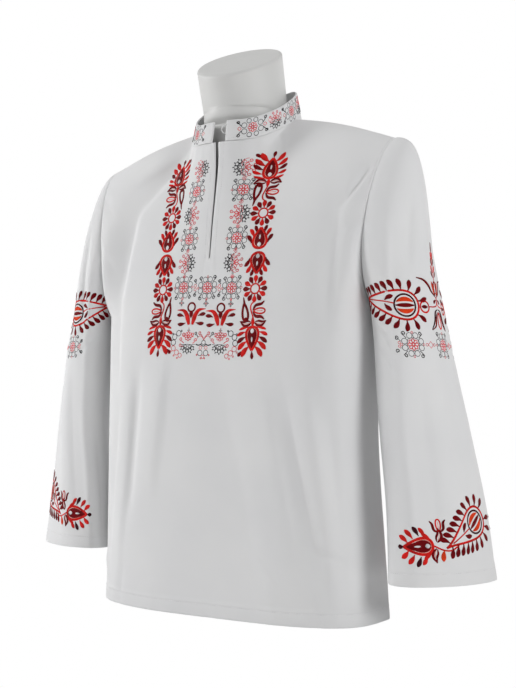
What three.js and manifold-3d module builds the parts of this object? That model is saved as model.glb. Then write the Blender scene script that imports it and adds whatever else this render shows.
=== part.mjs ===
// Embroidered folk shirt, pulled over the head, on a smooth limbless dress form.
// Millimetres, +Z up. The shirt's front faces -Y and the wearer's left is +X.
// The origin is the middle of the form's flat base, on the surface it stands on.
import * as THREE from "three";
import Module from "manifold-3d";
import { mergeVertices } from "three/addons/utils/BufferGeometryUtils.js";

const wasm = await Module();
wasm.setup();

// ---- Driving dimensions -------------------------------------------------
const CLOTH = 1.8; // wall of the panels and sleeves, seam allowances included
const COLLAR_CLOTH = 2.6; // the band is folded double over a stiffener
const SEAM_GAP = 0.42; // clear space between two sewn pieces
const HALF_GAP = SEAM_GAP / 2;
const HEM_Z = 6; // body hem above the surface
const ARMPIT_Z = 447;
const SHOULDER = { x: 256, y: 0, z: 688 }; // top of the armhole seam
const NECK = { halfWidth: 82, halfDepth: 80, middleY: 4, frontZ: 698, backZ: 768 };
const NECK_RISE = { level: 25, climb: 125, steep: 0.9 }; // degrees, degrees and share of the rise
const SHOULDER_CROWN = 5; // how far the shoulder seam bows up
const SEAM_ANGLE = 96; // where the shoulder seam meets the neckline, degrees from front
const COLLAR = { height: 31, lean: 6, rightEnd: 6, leftEnd: 10, foot: 1.6 }; // ends in degrees
const LOOP = { reach: 7.5, half: 6.5, thread: 0.7, height: 0.56 }; // closes on the other end
const SLIT = { bottomZ: 521, topHalf: 3.6, bottomHalf: 0.5, above: 30, deep: 160 };
// The neck block leans forward; rise and tilt slant its cap, and round and edge soften its rim.
const NECK_BLOCK = {
  radius: 65.5,
  footY: 3,
  topY: -15,
  topZ: 836,
  rise: 0.55,
  tilt: -0.1,
  round: 5,
  edge: 4,
};
const BACK_POWER = 3; // the back is a shallow dome that is creased at the side seams

// Half sections of the body below the armpit, each side of the wearer.
const BODY_ROWS = [
  { z: HEM_Z, left: 242, right: 234, front: 127, back: 116 },
  { z: 60, left: 239, right: 234, front: 125, back: 116 },
  { z: 130, left: 234, right: 234, front: 122, back: 116 },
  { z: 200, left: 229, right: 234, front: 119, back: 115 },
  { z: 270, left: 226, right: 235, front: 115, back: 114 },
  { z: 340, left: 227, right: 236, front: 111, back: 113 },
  { z: 400, left: 228, right: 237, front: 107, back: 112 },
  { z: ARMPIT_Z, left: 229, right: 238, front: 102, back: 111 },
];

// How square the front section is at each side: its superellipse power.
const FRONT_POWER = { left: 4, right: 2.5 };

// Handles of the curve that carries a panel's thread line up over the shoulder,
// from the neckline's middle out to the armhole. across runs from 0 to 1.
const FRONT_HANDLES = [
  { across: 0, x: 0, y: -9, z: -88 },
  { across: 0.2, x: 0, y: -26, z: -66 },
  { across: 0.36, x: 2, y: -56, z: -30 },
  { across: 0.7, x: 0, y: -62, z: -14 },
  { across: 1, x: -13, y: -70, z: -40 },
];
const BACK_HANDLES = [
  { across: 0, x: 0, y: 22, z: -80 },
  { across: 0.2, x: 0, y: 36, z: -62 },
  { across: 0.36, x: 2, y: 58, z: -30 },
  { across: 0.7, x: 0, y: 66, z: -14 },
  { across: 1, x: -13, y: 72, z: -40 },
];
const ARMHOLE_HANDLE = { x: -12, y: 82, z: 5 }; // at the armpit, along the armhole seam
const ARMPIT_SHARE = 0.46; // the part of the armhole seam where the walls lie face to face
const NECK_SHARE = 0.36; // share of a panel's half width that ends on the neckline
const EDGE_SHARE = 0.66; // where a panel begins to turn towards the armhole
const LIFT_SHARE = 0.36; // length of a thread line's lower handle, of its rise
const SLOPE_STEP = { panel: 30, sleeve: 20 }; // height over which a slope is measured
// Directions of the cloth at its seams: parts of a unit arrow.
const SHOULDER_LEAN = { neck: 0.2, armhole: 0.42 };
const ARMHOLE_LEAN = { out: 0.45, facing: 0.9, up: 0.9, upFrom: 0.45 };
const ARMPIT_LEAN = { out: -0.3, up: -0.95 };
const NECK_LEAN = { out: 0.94, up: 0.34 };

// Sleeve sections: an oval whose long axis is turned from front-back outwards.
const LEFT_SLEEVE = [
  { z: 400, x: 283, y: -4, long: 64, short: 41, turn: 15 },
  { z: 280, x: 300, y: -6, long: 71, short: 42, turn: 22 },
  { z: 170, x: 319, y: -10, long: 76, short: 43, turn: 27 },
  { z: 68, x: 331, y: -13, long: 82, short: 45, turn: 30 },
];
const RIGHT_SLEEVE = [
  { z: 400, x: 297, y: -4, long: 64, short: 42, turn: 35 },
  { z: 280, x: 312, y: -6, long: 70, short: 42, turn: 50 },
  { z: 170, x: 316, y: -10, long: 76, short: 41, turn: 62 },
  { z: 77, x: 320, y: -14, long: 80, short: 40, turn: 70 },
];
// Handles that carry the sleeve off the armhole: at its top, front or back, and armpit.
const LEFT_HEAD = {
  top: { x: 58, y: 0, z: -4 },
  side: { x: 22, y: 14, z: -24 },
  armpit: { x: 7, y: 0, z: -8 },
};
const RIGHT_HEAD = { ...LEFT_HEAD, top: { x: 36, y: 0, z: -10 } };
// The handle above the first sleeve section: its height, and its lean to the body.
const LEFT_LIFT = { top: 200, side: 90, armpit: 12 };
const RIGHT_LIFT = { top: 190, side: 90, armpit: 12 };
const LEFT_LEAN = { top: 6, side: 4, armpit: 0 };
const RIGHT_LEAN = { top: 32, side: 8, armpit: 0 };

// Large folds: soft channels (depth below 0) and ridges along a line, in the panel's
// own elevation. A line runs from x0, z0 to x1, z1 and fades over its width, and it has
// faded out at FOLD_END half lengths from its middle. Folds die out beside the seams.
const FOLD_END = 1.5;
const FOLD_FADE = 0.9;
const CALM = { side: 0.12, rows: 3 };
const FRONT_FOLDS = [
  { x0: -92, z0: 684, x1: -165, z1: 608, width: 18, depth: -5 },
  { x0: -165, z0: 608, x1: -188, z1: 470, width: 17, depth: -6 },
  { x0: -188, z0: 470, x1: -186, z1: 330, width: 17, depth: -4 },
  { x0: -76, z0: 372, x1: -92, z1: 180, width: 20, depth: 4 },
  { x0: -128, z0: 350, x1: -142, z1: 150, width: 19, depth: -5 },
  { x0: 132, z0: 330, x1: 196, z1: 50, width: 21, depth: -6 },
  { x0: 166, z0: 320, x1: 214, z1: 90, width: 20, depth: 4 },
  { x0: 10, z0: 300, x1: 26, z1: 110, width: 26, depth: -3 },
  { x0: 198, z0: 600, x1: 190, z1: 420, width: 15, depth: -4 },
];
const BACK_FOLDS = [
  { x0: -110, z0: 660, x1: -176, z1: 560, width: 17, depth: -5 },
  { x0: -176, z0: 560, x1: -170, z1: 330, width: 18, depth: -5 },
  { x0: 112, z0: 655, x1: 178, z1: 540, width: 17, depth: -5 },
  { x0: 178, z0: 540, x1: 160, z1: 300, width: 18, depth: -6 },
  { x0: -60, z0: 420, x1: -84, z1: 60, width: 24, depth: -6 },
  { x0: 40, z0: 400, x1: 74, z1: 50, width: 24, depth: -5 },
  { x0: -10, z0: 330, x1: -6, z1: 70, width: 26, depth: 4 },
];
const FORM_ROWS = [
  { z: 0, half: 168, front: 92, back: 88 },
  { z: 6, half: 174, front: 97, back: 93 },
  { z: 120, half: 183, front: 101, back: 98 },
  { z: 260, half: 168, front: 92, back: 88 },
  { z: 420, half: 176, front: 90, back: 92 },
  { z: 560, half: 190, front: 74, back: 84 },
  { z: 630, half: 200, front: 56, back: 66 },
  { z: 660, half: 203, front: 38, back: 46 },
];
// The form's shoulder line: gap is how far it lies under the shirt's shoulder seam.
const FORM_TOP = [
  { x: 200, front: 21, back: 24, gap: 2.0 },
  { x: 178, front: 18, back: 21, gap: 2.3 },
  { x: 150, front: 15, back: 19, gap: 2.3 },
  { x: 120, front: 14, back: 19, gap: 3.2 },
  { x: 100, front: 12, back: 16, gap: 5.0 },
];
// The neck's foot above the shoulders' top ring: it stays inside the collar.
const NECK_FOOT = [
  { rise: 2, half: 86 },
  { rise: 7, half: 72 },
  { rise: 14, half: 58 },
  { rise: 22, half: 40 },
];
const NECK_FOOT_EASE = 12; // height over which the foot moves on to the neck's own middle
const FORM_POWER = { body: 2.2, top: 2 };
const FORM_SHOULDERS_Z = 640; // the form's rings lie closer above this level
const FORM_BLEND = 9; // how sharply the shoulders turn into the neck

// Mesh steps.
const ACROSS = 34;
const BODY_STEPS = 14;
const YOKE_STEPS = 12;
const SLEEVE_STEPS = { head: 10, arm: 8 };
const COLLAR_STEPS = 36;
const LOOP_STEPS = 14;
const LOOP_SIDES = 6;
const SECTION_STEPS = 60;
const FORM_AROUND = 36;
const FORM_STEPS = { body: 10, shoulders: 9, neck: 4 };

const RADIANS = Math.PI / 180;
const mix = (a, b, t) => a + (b - a) * t;
const smooth = (t) => t * t * (3 - 2 * t);
const clamp = (t, low = 0, high = 1) => Math.min(high, Math.max(low, t));

// ---- Tables and curves --------------------------------------------------
// Reads a table at a place between its rows, with a smooth (Catmull-Rom) curve.
function readTable(table, key, place) {
  const rising = table[1][key] > table[0][key];
  let row = 0;
  const isBefore = (next) => (rising ? next[key] < place : next[key] > place);
  while (row < table.length - 2 && isBefore(table[row + 1])) {
    row += 1;
  }
  const a = table[row];
  const b = table[row + 1];
  const before = table[row - 1] ?? a;
  const after = table[row + 2] ?? b;
  const t = clamp((place - a[key]) / (b[key] - a[key]));
  const found = {};
  for (const name of Object.keys(a)) {
    const slopeA = ((b[name] - before[name]) / (b[key] - before[key])) * (b[key] - a[key]);
    const slopeB = ((after[name] - a[name]) / (after[key] - a[key])) * (b[key] - a[key]);
    const t2 = t * t;
    const t3 = t2 * t;
    found[name] =
      (2 * t3 - 3 * t2 + 1) * a[name] +
      (t3 - 2 * t2 + t) * slopeA +
      (3 * t2 - 2 * t3) * b[name] +
      (t3 - t2) * slopeB;
  }
  return found;
}

function bezier(points, t) {
  const s = 1 - t;
  const weights = [s * s * s, 3 * s * s * t, 3 * s * t * t, t * t * t];
  const sum = new THREE.Vector3();
  points.forEach((point, index) => sum.addScaledVector(point, weights[index]));
  return sum;
}

// ---- Front and back panels ----------------------------------------------
// A quarter of a body section, from the panel's middle to its side seam, walked by
// length: share 0 is the middle and share 1 the side seam.
function quarterSection(half, depth, power, back, share) {
  const steps = SECTION_STEPS;
  const points = [];
  for (let i = 0; i <= steps; i += 1) {
    const angle = (i / steps) * 90 * RADIANS;
    if (back) {
      const across = Math.sin(angle);
      points.push([half * across, depth * (1 - across ** power)]);
    } else {
      points.push([half * Math.sin(angle) ** (2 / power), depth * Math.cos(angle) ** (2 / power)]);
    }
  }
  const lengths = [0];
  for (let i = 1; i <= steps; i += 1) {
    const step = Math.hypot(points[i][0] - points[i - 1][0], points[i][1] - points[i - 1][1]);
    lengths.push(lengths[i - 1] + step);
  }
  const target = share * lengths[steps];
  let i = 1;
  while (i < steps && lengths[i] < target) {
    i += 1;
  }
  const t = (target - lengths[i - 1]) / (lengths[i] - lengths[i - 1]);
  return [mix(points[i - 1][0], points[i][0], t), mix(points[i - 1][1], points[i][1], t)];
}

// A point of a body section. facing is -1 on the front and 1 on the back.
function bodyPoint(facing, across, z) {
  const row = readTable(BODY_ROWS, "z", z);
  const side = across < 0 ? "right" : "left";
  const back = facing > 0;
  const depth = back ? row.back : row.front;
  const power = back ? BACK_POWER : FRONT_POWER[side];
  const [x, y] = quarterSection(row[side], depth, power, back, Math.abs(across));
  return new THREE.Vector3(Math.sign(across) * x, facing * y, z);
}

// The neckline, by its angle from the middle of the front: level there, then it climbs.
function necklinePoint(degrees) {
  const angle = degrees * RADIANS;
  const around = Math.abs(degrees);
  const turn = around > 180 ? 360 - around : around;
  const climb = smooth(clamp((turn - NECK_RISE.level) / NECK_RISE.climb));
  const rise = mix(turn / 180, climb, NECK_RISE.steep);
  return new THREE.Vector3(
    NECK.halfWidth * Math.sin(angle),
    NECK.middleY - NECK.halfDepth * Math.cos(angle),
    mix(NECK.frontZ, NECK.backZ, rise),
  );
}

// Angle round the neckline of a panel's place across, out to the shoulder seam.
function neckDegrees(facing, out) {
  const share = out / NECK_SHARE;
  return facing < 0 ? SEAM_ANGLE * share : 180 - (180 - SEAM_ANGLE) * share;
}

// The top edge of a panel: the neckline, then the shoulder seam out to the armhole.
function topPoint(facing, across) {
  const side = Math.sign(across) || 1;
  const out = Math.abs(across);
  if (out <= NECK_SHARE) {
    return necklinePoint(side * neckDegrees(facing, out));
  }
  const share = (out - NECK_SHARE) / (1 - NECK_SHARE);
  const start = necklinePoint(side * SEAM_ANGLE);
  const point = start.lerp(new THREE.Vector3(side * SHOULDER.x, SHOULDER.y, SHOULDER.z), share);
  point.z += SHOULDER_CROWN * Math.sin(share * Math.PI);
  return point;
}

// A thread line from the armpit's level up to the top edge, at height share 0 to 1.
function yokePoint(facing, across, share) {
  const side = Math.sign(across) || 1;
  const out = Math.abs(across);
  const start = bodyPoint(facing, across, ARMPIT_Z);
  const below = bodyPoint(facing, across, ARMPIT_Z - SLOPE_STEP.panel);
  const end = topPoint(facing, across);
  const handle = readTable(facing < 0 ? FRONT_HANDLES : BACK_HANDLES, "across", out);
  const edge = smooth(clamp((out - EDGE_SHARE) / (1 - EDGE_SHARE)));
  const lift = (end.z - start.z) * LIFT_SHARE;
  const plain = start.clone().addScaledVector(start.clone().sub(below), lift / SLOPE_STEP.panel);
  const armhole = new THREE.Vector3(
    start.x + side * ARMHOLE_HANDLE.x,
    facing * ARMHOLE_HANDLE.y,
    start.z + ARMHOLE_HANDLE.z,
  );
  const first = plain.lerp(armhole, edge);
  const second = end.clone().add(new THREE.Vector3(side * handle.x, handle.y, handle.z));
  return bezier([start, first, second, end], share);
}

// How far the folds move a point outwards.
function foldHeight(folds, x, z) {
  let height = 0;
  for (const fold of folds) {
    const run = [fold.x1 - fold.x0, fold.z1 - fold.z0];
    const length = Math.hypot(run[0], run[1]);
    const along = ((x - fold.x0) * run[0] + (z - fold.z0) * run[1]) / length ** 2;
    const off = ((x - fold.x0) * run[1] - (z - fold.z0) * run[0]) / length;
    const fade = smooth(clamp((FOLD_END - Math.abs(2 * along - 1)) * FOLD_FADE));
    height += fold.depth * fade * Math.exp(-((off / fold.width) ** 2));
  }
  return height;
}

// One row of heights from the hem to the top edge; above the armpit they are shares.
function panelRows() {
  const rows = [];
  for (let i = 0; i < BODY_STEPS; i += 1) {
    rows.push({ z: mix(HEM_Z, ARMPIT_Z, i / BODY_STEPS), share: null });
  }
  for (let i = 0; i <= YOKE_STEPS; i += 1) {
    rows.push({ z: null, share: i / YOKE_STEPS });
  }
  return rows;
}

function panelPoint(facing, across, row) {
  return row.share === null ? bodyPoint(facing, across, row.z) : yokePoint(facing, across, row.share);
}

// ---- Walls --------------------------------------------------------------
// Outward directions of a grid of points, by the cross product of its two runs.
function gridNormals(grid, wrap) {
  const last = grid.length - 1;
  return grid.map((line, i) =>
    line.map((point, j) => {
      const width = line.length;
      const before = wrap ? line[(j + width - 1) % width] : line[Math.max(0, j - 1)];
      const after = wrap ? line[(j + 1) % width] : line[Math.min(width - 1, j + 1)];
      const across = after.clone().sub(before);
      const along = grid[Math.min(last, i + 1)][j].clone().sub(grid[Math.max(0, i - 1)][j]);
      return across.cross(along).normalize();
    }),
  );
}

// A cloth wall from a grid of inner points moved out along their normals.
function wallGeometry(grid, normals, thickness, wrap) {
  const rows = grid.length;
  const width = grid[0].length;
  const positions = [];
  for (const offset of [0, thickness]) {
    grid.forEach((line, i) =>
      line.forEach((point, j) => {
        positions.push(...point.clone().addScaledVector(normals[i][j], offset).toArray());
      }),
    );
  }
  const outer = rows * width;
  const faces = [];
  const quad = (a, b, c, d) => faces.push(a, b, c, a, c, d);
  const columns = wrap ? width : width - 1;
  for (let i = 0; i < rows - 1; i += 1) {
    for (let j = 0; j < columns; j += 1) {
      const a = i * width + j;
      const b = i * width + ((j + 1) % width);
      const c = b + width;
      const d = a + width;
      quad(outer + a, outer + b, outer + c, outer + d);
      quad(a, d, c, b);
    }
  }
  for (let j = 0; j < columns; j += 1) {
    const next = (j + 1) % width;
    const top = (rows - 1) * width;
    quad(j, next, outer + next, outer + j);
    quad(top + next, top + j, outer + top + j, outer + top + next);
  }
  if (!wrap) {
    for (let i = 0; i < rows - 1; i += 1) {
      const a = i * width;
      const d = a + width;
      const b = a + width - 1;
      const c = d + width - 1;
      quad(d, a, outer + a, outer + d);
      quad(b, c, outer + c, outer + b);
    }
  }
  const geometry = new THREE.BufferGeometry();
  geometry.setAttribute("position", new THREE.Float32BufferAttribute(positions, 3));
  geometry.setIndex(faces);
  return geometry;
}

// ---- Booleans -----------------------------------------------------------
function toSolid(geometry) {
  const bare = geometry.clone();
  bare.deleteAttribute("normal");
  bare.deleteAttribute("uv");
  const merged = mergeVertices(bare, 1e-4);
  const mesh = new wasm.Mesh({
    numProp: 3,
    vertProperties: new Float32Array(merged.attributes.position.array),
    triVerts: new Uint32Array(merged.index.array),
  });
  return new wasm.Manifold(mesh);
}

function fromSolid(solid) {
  const mesh = solid.getMesh();
  const geometry = new THREE.BufferGeometry();
  geometry.setAttribute("position", new THREE.BufferAttribute(mesh.vertProperties, 3));
  geometry.setIndex(new THREE.BufferAttribute(mesh.triVerts, 1));
  return geometry;
}

// ---- Seam directions shared by two pieces -------------------------------
// Outward direction of the cloth along the armhole seam. From the side upwards it is
// shared by the panel and the sleeve; at the armpit the two walls lie face to face.
function armholeNormal(side, facing, share, armpit) {
  const low = 1 - smooth(clamp(share / ARMPIT_SHARE));
  const high = smooth(clamp((share - ARMHOLE_LEAN.upFrom) / (1 - ARMHOLE_LEAN.upFrom)));
  const seam = new THREE.Vector3(
    side * ARMHOLE_LEAN.out,
    facing * ARMHOLE_LEAN.facing * Math.sin(share * Math.PI),
    ARMHOLE_LEAN.up * high,
  );
  return seam.normalize().multiplyScalar(1 - low).addScaledVector(armpit, low).normalize();
}

function shoulderNormal(side, out) {
  const lean = mix(SHOULDER_LEAN.neck, SHOULDER_LEAN.armhole, out);
  return new THREE.Vector3(side * lean, 0, 1).normalize();
}

function necklineNormal(degrees) {
  const angle = degrees * RADIANS;
  const { out, up } = NECK_LEAN;
  return new THREE.Vector3(out * Math.sin(angle), -out * Math.cos(angle), up).normalize();
}

const yokeShares = panelRows().filter((row) => row.share !== null).map((row) => row.share);

// ---- Pieces -------------------------------------------------------------
function makePanel(facing) {
  const rows = panelRows();
  const folds = facing < 0 ? FRONT_FOLDS : BACK_FOLDS;
  const grid = rows.map((row) => {
    const line = [];
    for (let j = 0; j <= ACROSS; j += 1) {
      // The front runs from the wearer's right to the left, the back the other way.
      const across = -facing * mix(-1, 1, j / ACROSS);
      line.push(panelPoint(facing, across, row));
    }
    return line;
  });
  const normals = gridNormals(grid, false);
  const moved = grid.map((line, i) =>
    line.map((point, j) => {
      const across = Math.abs(mix(-1, 1, j / ACROSS));
      const beside = smooth(clamp((1 - across) / CALM.side));
      const under = smooth(clamp((rows.length - 1 - i) / CALM.rows));
      const height = foldHeight(folds, point.x, point.z) * beside * under;
      return point.clone().addScaledVector(normals[i][j], height);
    }),
  );
  const lines = gridNormals(moved, false);
  const top = rows.length - 1;
  rows.forEach((row, i) => {
    [0, ACROSS].forEach((j) => {
      const side = Math.sign(moved[i][j].x);
      const sideways = new THREE.Vector3(side, 0, 0);
      lines[i][j] = row.share === null ? sideways : armholeNormal(side, facing, row.share, sideways);
      moved[i][j].y += facing * HALF_GAP;
    });
  });
  for (let j = 0; j <= ACROSS; j += 1) {
    const across = mix(-1, 1, j / ACROSS);
    const out = Math.abs(across);
    const side = Math.sign(moved[top][j].x) || 1;
    if (out < NECK_SHARE - 1e-6) {
      lines[top][j] = necklineNormal(side * neckDegrees(facing, out));
    } else {
      lines[top][j] = shoulderNormal(side, (out - NECK_SHARE) / (1 - NECK_SHARE));
      if (out < 1 - 1e-6) {
        moved[top][j].y += facing * HALF_GAP;
      }
    }
  }
  return wallGeometry(moved, lines, CLOTH, false);
}

function makeFront() {
  const panel = toSolid(makePanel(-1));
  const half = SLIT.topHalf;
  const shape = new THREE.Shape();
  const top = NECK.frontZ + SLIT.above;
  shape.moveTo(-SLIT.bottomHalf, SLIT.bottomZ);
  shape.lineTo(SLIT.bottomHalf, SLIT.bottomZ);
  shape.lineTo(half, top);
  shape.lineTo(-half, top);
  const tool = new THREE.ExtrudeGeometry(shape, { depth: SLIT.deep, bevelEnabled: false });
  tool.rotateX(90 * RADIANS);
  return fromSolid(panel.subtract(toSolid(tool)));
}

function armholeRing(side) {
  const ring = [];
  const armpit = new THREE.Vector3(ARMPIT_LEAN.out * side, 0, ARMPIT_LEAN.up);
  const count = yokeShares.length - 1;
  for (let i = 0; i <= count; i += 1) {
    ring.push({ facing: -1, share: yokeShares[count - i] });
  }
  for (let i = 1; i < count; i += 1) {
    ring.push({ facing: 1, share: yokeShares[i] });
  }
  return ring.map(({ facing, share }, index) => {
    const angle = (index / ring.length) * 360 * RADIANS;
    const point = yokePoint(facing, side, share);
    const low = 1 - smooth(clamp(share / ARMPIT_SHARE));
    point.x += side * (2 * CLOTH + SEAM_GAP) * low;
    const normal = armholeNormal(side, facing, share, armpit);
    if (share === 1) {
      normal.copy(shoulderNormal(side, 1));
    }
    return { angle, point, normal };
  });
}

function sleeveSection(table, side, z, angle) {
  const row = readTable(table, "z", z);
  const turn = row.turn * RADIANS;
  const long = Math.sin(angle);
  const short = Math.cos(angle);
  return new THREE.Vector3(
    side * (row.x + Math.cos(turn) * row.short * short - Math.sin(turn) * row.long * long),
    row.y - Math.sin(turn) * row.short * short - Math.cos(turn) * row.long * long,
    z,
  );
}

// Mixes three values around the sleeve: its top, its front or back, and its armpit.
function around(values, angle) {
  const top = Math.max(0, Math.cos(angle));
  const low = Math.max(0, -Math.cos(angle));
  const sideways = 1 - top ** 2 - low ** 2;
  return values.top * top ** 2 + values.armpit * low ** 2 + values.side * sideways;
}

function sleevePoint(table, side, seam, share) {
  const headShare = SLEEVE_STEPS.head / (SLEEVE_STEPS.head + SLEEVE_STEPS.arm);
  const first = table[0].z;
  if (share > headShare) {
    const z = mix(first, table[table.length - 1].z, (share - headShare) / (1 - headShare));
    return sleeveSection(table, side, z, seam.angle);
  }
  const head = side > 0 ? LEFT_HEAD : RIGHT_HEAD;
  const facing = Math.sin(seam.angle) > 0 ? -1 : 1;
  const handle = (axis) =>
    around({ top: head.top[axis], side: head.side[axis], armpit: head.armpit[axis] }, seam.angle);
  const start = seam.point;
  const out = new THREE.Vector3(side * handle("x"), facing * handle("y"), handle("z"));
  const end = sleeveSection(table, side, first, seam.angle);
  const below = sleeveSection(table, side, first - SLOPE_STEP.sleeve, seam.angle);
  const lift = around(side > 0 ? LEFT_LIFT : RIGHT_LIFT, seam.angle);
  const up = end.clone().addScaledVector(end.clone().sub(below), lift / SLOPE_STEP.sleeve);
  up.x -= side * around(side > 0 ? LEFT_LEAN : RIGHT_LEAN, seam.angle);
  return bezier([start, start.clone().add(out), up, end], share / headShare);
}

// The grid starts at the armhole and runs around so that its outside faces out.
function makeSleeve(side) {
  const table = side > 0 ? LEFT_SLEEVE : RIGHT_SLEEVE;
  const seams = armholeRing(side);
  if (side < 0) {
    seams.reverse();
  }
  const steps = SLEEVE_STEPS.head + SLEEVE_STEPS.arm;
  const grid = [];
  for (let i = 0; i <= steps; i += 1) {
    grid.push(seams.map((seam) => sleevePoint(table, side, seam, i / steps)).reverse());
  }
  const normals = gridNormals(grid, true);
  [...seams].reverse().forEach((seam, j) => {
    normals[0][j] = seam.normal;
    const run = grid[1][j].clone().sub(grid[0][j]).normalize();
    grid[0][j].addScaledVector(run, SEAM_GAP);
  });
  return wallGeometry(grid, normals, CLOTH, true);
}

function makeCollar() {
  const start = -COLLAR.rightEnd;
  const end = -360 + COLLAR.leftEnd;
  const grid = [];
  const levels = 3;
  for (let i = 0; i <= levels; i += 1) {
    const line = [];
    for (let j = 0; j <= COLLAR_STEPS; j += 1) {
      const degrees = mix(end, start, j / COLLAR_STEPS);
      const angle = degrees * RADIANS;
      const foot = necklinePoint(degrees);
      const rise = i / levels;
      const inward = COLLAR.lean * rise;
      foot.x -= Math.sin(angle) * inward;
      foot.y += Math.cos(angle) * inward;
      foot.z += COLLAR.foot + COLLAR.height * rise;
      line.push(foot);
    }
    grid.push(line);
  }
  const normals = grid.map((line) =>
    line.map((point, j) => {
      const angle = mix(end, start, j / COLLAR_STEPS) * RADIANS;
      return new THREE.Vector3(Math.sin(angle), -Math.cos(angle), 0);
    }),
  );
  return wallGeometry(grid, normals, COLLAR_CLOTH, false);
}

// The worked thread loop on the collar's left end, which took a small button.
function makeLoop() {
  const degrees = -360 + COLLAR.leftEnd;
  const angle = degrees * RADIANS;
  const foot = necklinePoint(degrees);
  const inward = COLLAR.lean * LOOP.height - COLLAR_CLOTH / 2;
  const middle = new THREE.Vector3(
    foot.x - Math.sin(angle) * inward,
    foot.y + Math.cos(angle) * inward,
    foot.z + COLLAR.foot + COLLAR.height * LOOP.height,
  );
  const away = new THREE.Vector3(-Math.cos(angle), -Math.sin(angle), 0);
  const points = [];
  for (let i = 0; i <= LOOP_STEPS; i += 1) {
    const turn = mix(-90, 90, i / LOOP_STEPS) * RADIANS;
    const point = middle.clone().addScaledVector(away, SEAM_GAP + LOOP.reach * Math.cos(turn));
    point.z += LOOP.half * Math.sin(turn);
    points.push(point);
  }
  const section = new THREE.Shape();
  section.absarc(0, 0, LOOP.thread, 0, Math.PI * 2);
  const path = new THREE.CatmullRomCurve3(points);
  const options = { steps: LOOP_STEPS, extrudePath: path, curveSegments: LOOP_SIDES };
  return new THREE.ExtrudeGeometry(section, options);
}

// The form's half section, smoothly joined with the neck, at one height and angle.
function formRadius(half, depth, power, angle) {
  const across = Math.abs(Math.cos(angle) / half) ** power;
  const along = Math.abs(Math.sin(angle) / depth) ** power;
  const torso = (across + along) ** (-1 / power);
  return (torso ** FORM_BLEND + NECK_BLOCK.radius ** FORM_BLEND) ** (1 / FORM_BLEND);
}

// The shoulder seam's place at a distance from the middle: the form's crest follows it.
function crest(x) {
  const seam = necklinePoint(SEAM_ANGLE);
  const share = (x - seam.x) / (SHOULDER.x - seam.x);
  return {
    y: mix(seam.y, SHOULDER.y, share),
    z: mix(seam.z, SHOULDER.z, share) + SHOULDER_CROWN * Math.sin(clamp(share) * Math.PI),
  };
}

function makeForm() {
  const table = FORM_ROWS.map((row) => ({ ...row, power: FORM_POWER.body, middleY: 0 }));
  FORM_TOP.forEach(({ x, front, back, gap }) => {
    const seam = crest(x);
    table.push({ z: seam.z - gap, half: x, front, back, power: FORM_POWER.top, middleY: seam.y });
  });
  const shouldersZ = FORM_SHOULDERS_Z;
  const last = table[table.length - 1].z;
  const grid = [];
  for (let i = 0; i < FORM_STEPS.body; i += 1) {
    grid.push(formRing(readTable(table, "z", mix(0, shouldersZ, i / FORM_STEPS.body))));
  }
  for (let i = 0; i <= FORM_STEPS.shoulders; i += 1) {
    grid.push(formRing(readTable(table, "z", mix(shouldersZ, last, i / FORM_STEPS.shoulders))));
  }
  const top = table[table.length - 1];
  NECK_FOOT.forEach(({ rise, half }) => {
    const middleY = mix(top.middleY, NECK_BLOCK.footY, smooth(clamp(rise / NECK_FOOT_EASE)));
    grid.push(formRing({ ...top, z: last + rise, half, middleY }));
  });
  for (let i = 1; i <= FORM_STEPS.neck; i += 1) {
    grid.push(neckRing(last + NECK_FOOT[NECK_FOOT.length - 1].rise, i / FORM_STEPS.neck, 0));
  }
  grid.push(neckRing(last, 1, NECK_BLOCK.round));
  return closedTube(grid);
}

function circle(radius, middleY, heightAt) {
  const line = [];
  for (let j = 0; j < FORM_AROUND; j += 1) {
    const angle = (j / FORM_AROUND) * 360 * RADIANS;
    const y = radius * Math.sin(angle);
    const x = radius * Math.cos(angle);
    line.push(new THREE.Vector3(x, middleY + y, heightAt(x, y)));
  }
  return line;
}

// A ring of the neck block, which leans forward and ends in a slanted cap. inset
// draws the last ring in, which rounds the cap's edge.
function neckRing(footZ, share, inset) {
  const edge = inset > 0 ? 0 : NECK_BLOCK.edge;
  const middleY = mix(NECK_BLOCK.footY, NECK_BLOCK.topY, share);
  const capZ = (x, y) => NECK_BLOCK.topZ + NECK_BLOCK.tilt * x + NECK_BLOCK.rise * y - edge;
  return circle(NECK_BLOCK.radius - inset, middleY, (x, y) => mix(footZ, capZ(x, y), share));
}

function formRing(row) {
  const line = [];
  for (let j = 0; j < FORM_AROUND; j += 1) {
    const turn = (j / FORM_AROUND) * 360 * RADIANS;
    const depth = Math.sin(turn) < 0 ? row.front : row.back;
    const angle = Math.atan2(depth * Math.sin(turn), row.half * Math.cos(turn));
    const radius = formRadius(row.half, depth, row.power, angle);
    line.push(
      new THREE.Vector3(radius * Math.cos(angle), row.middleY + radius * Math.sin(angle), row.z),
    );
  }
  return line;
}

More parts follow.
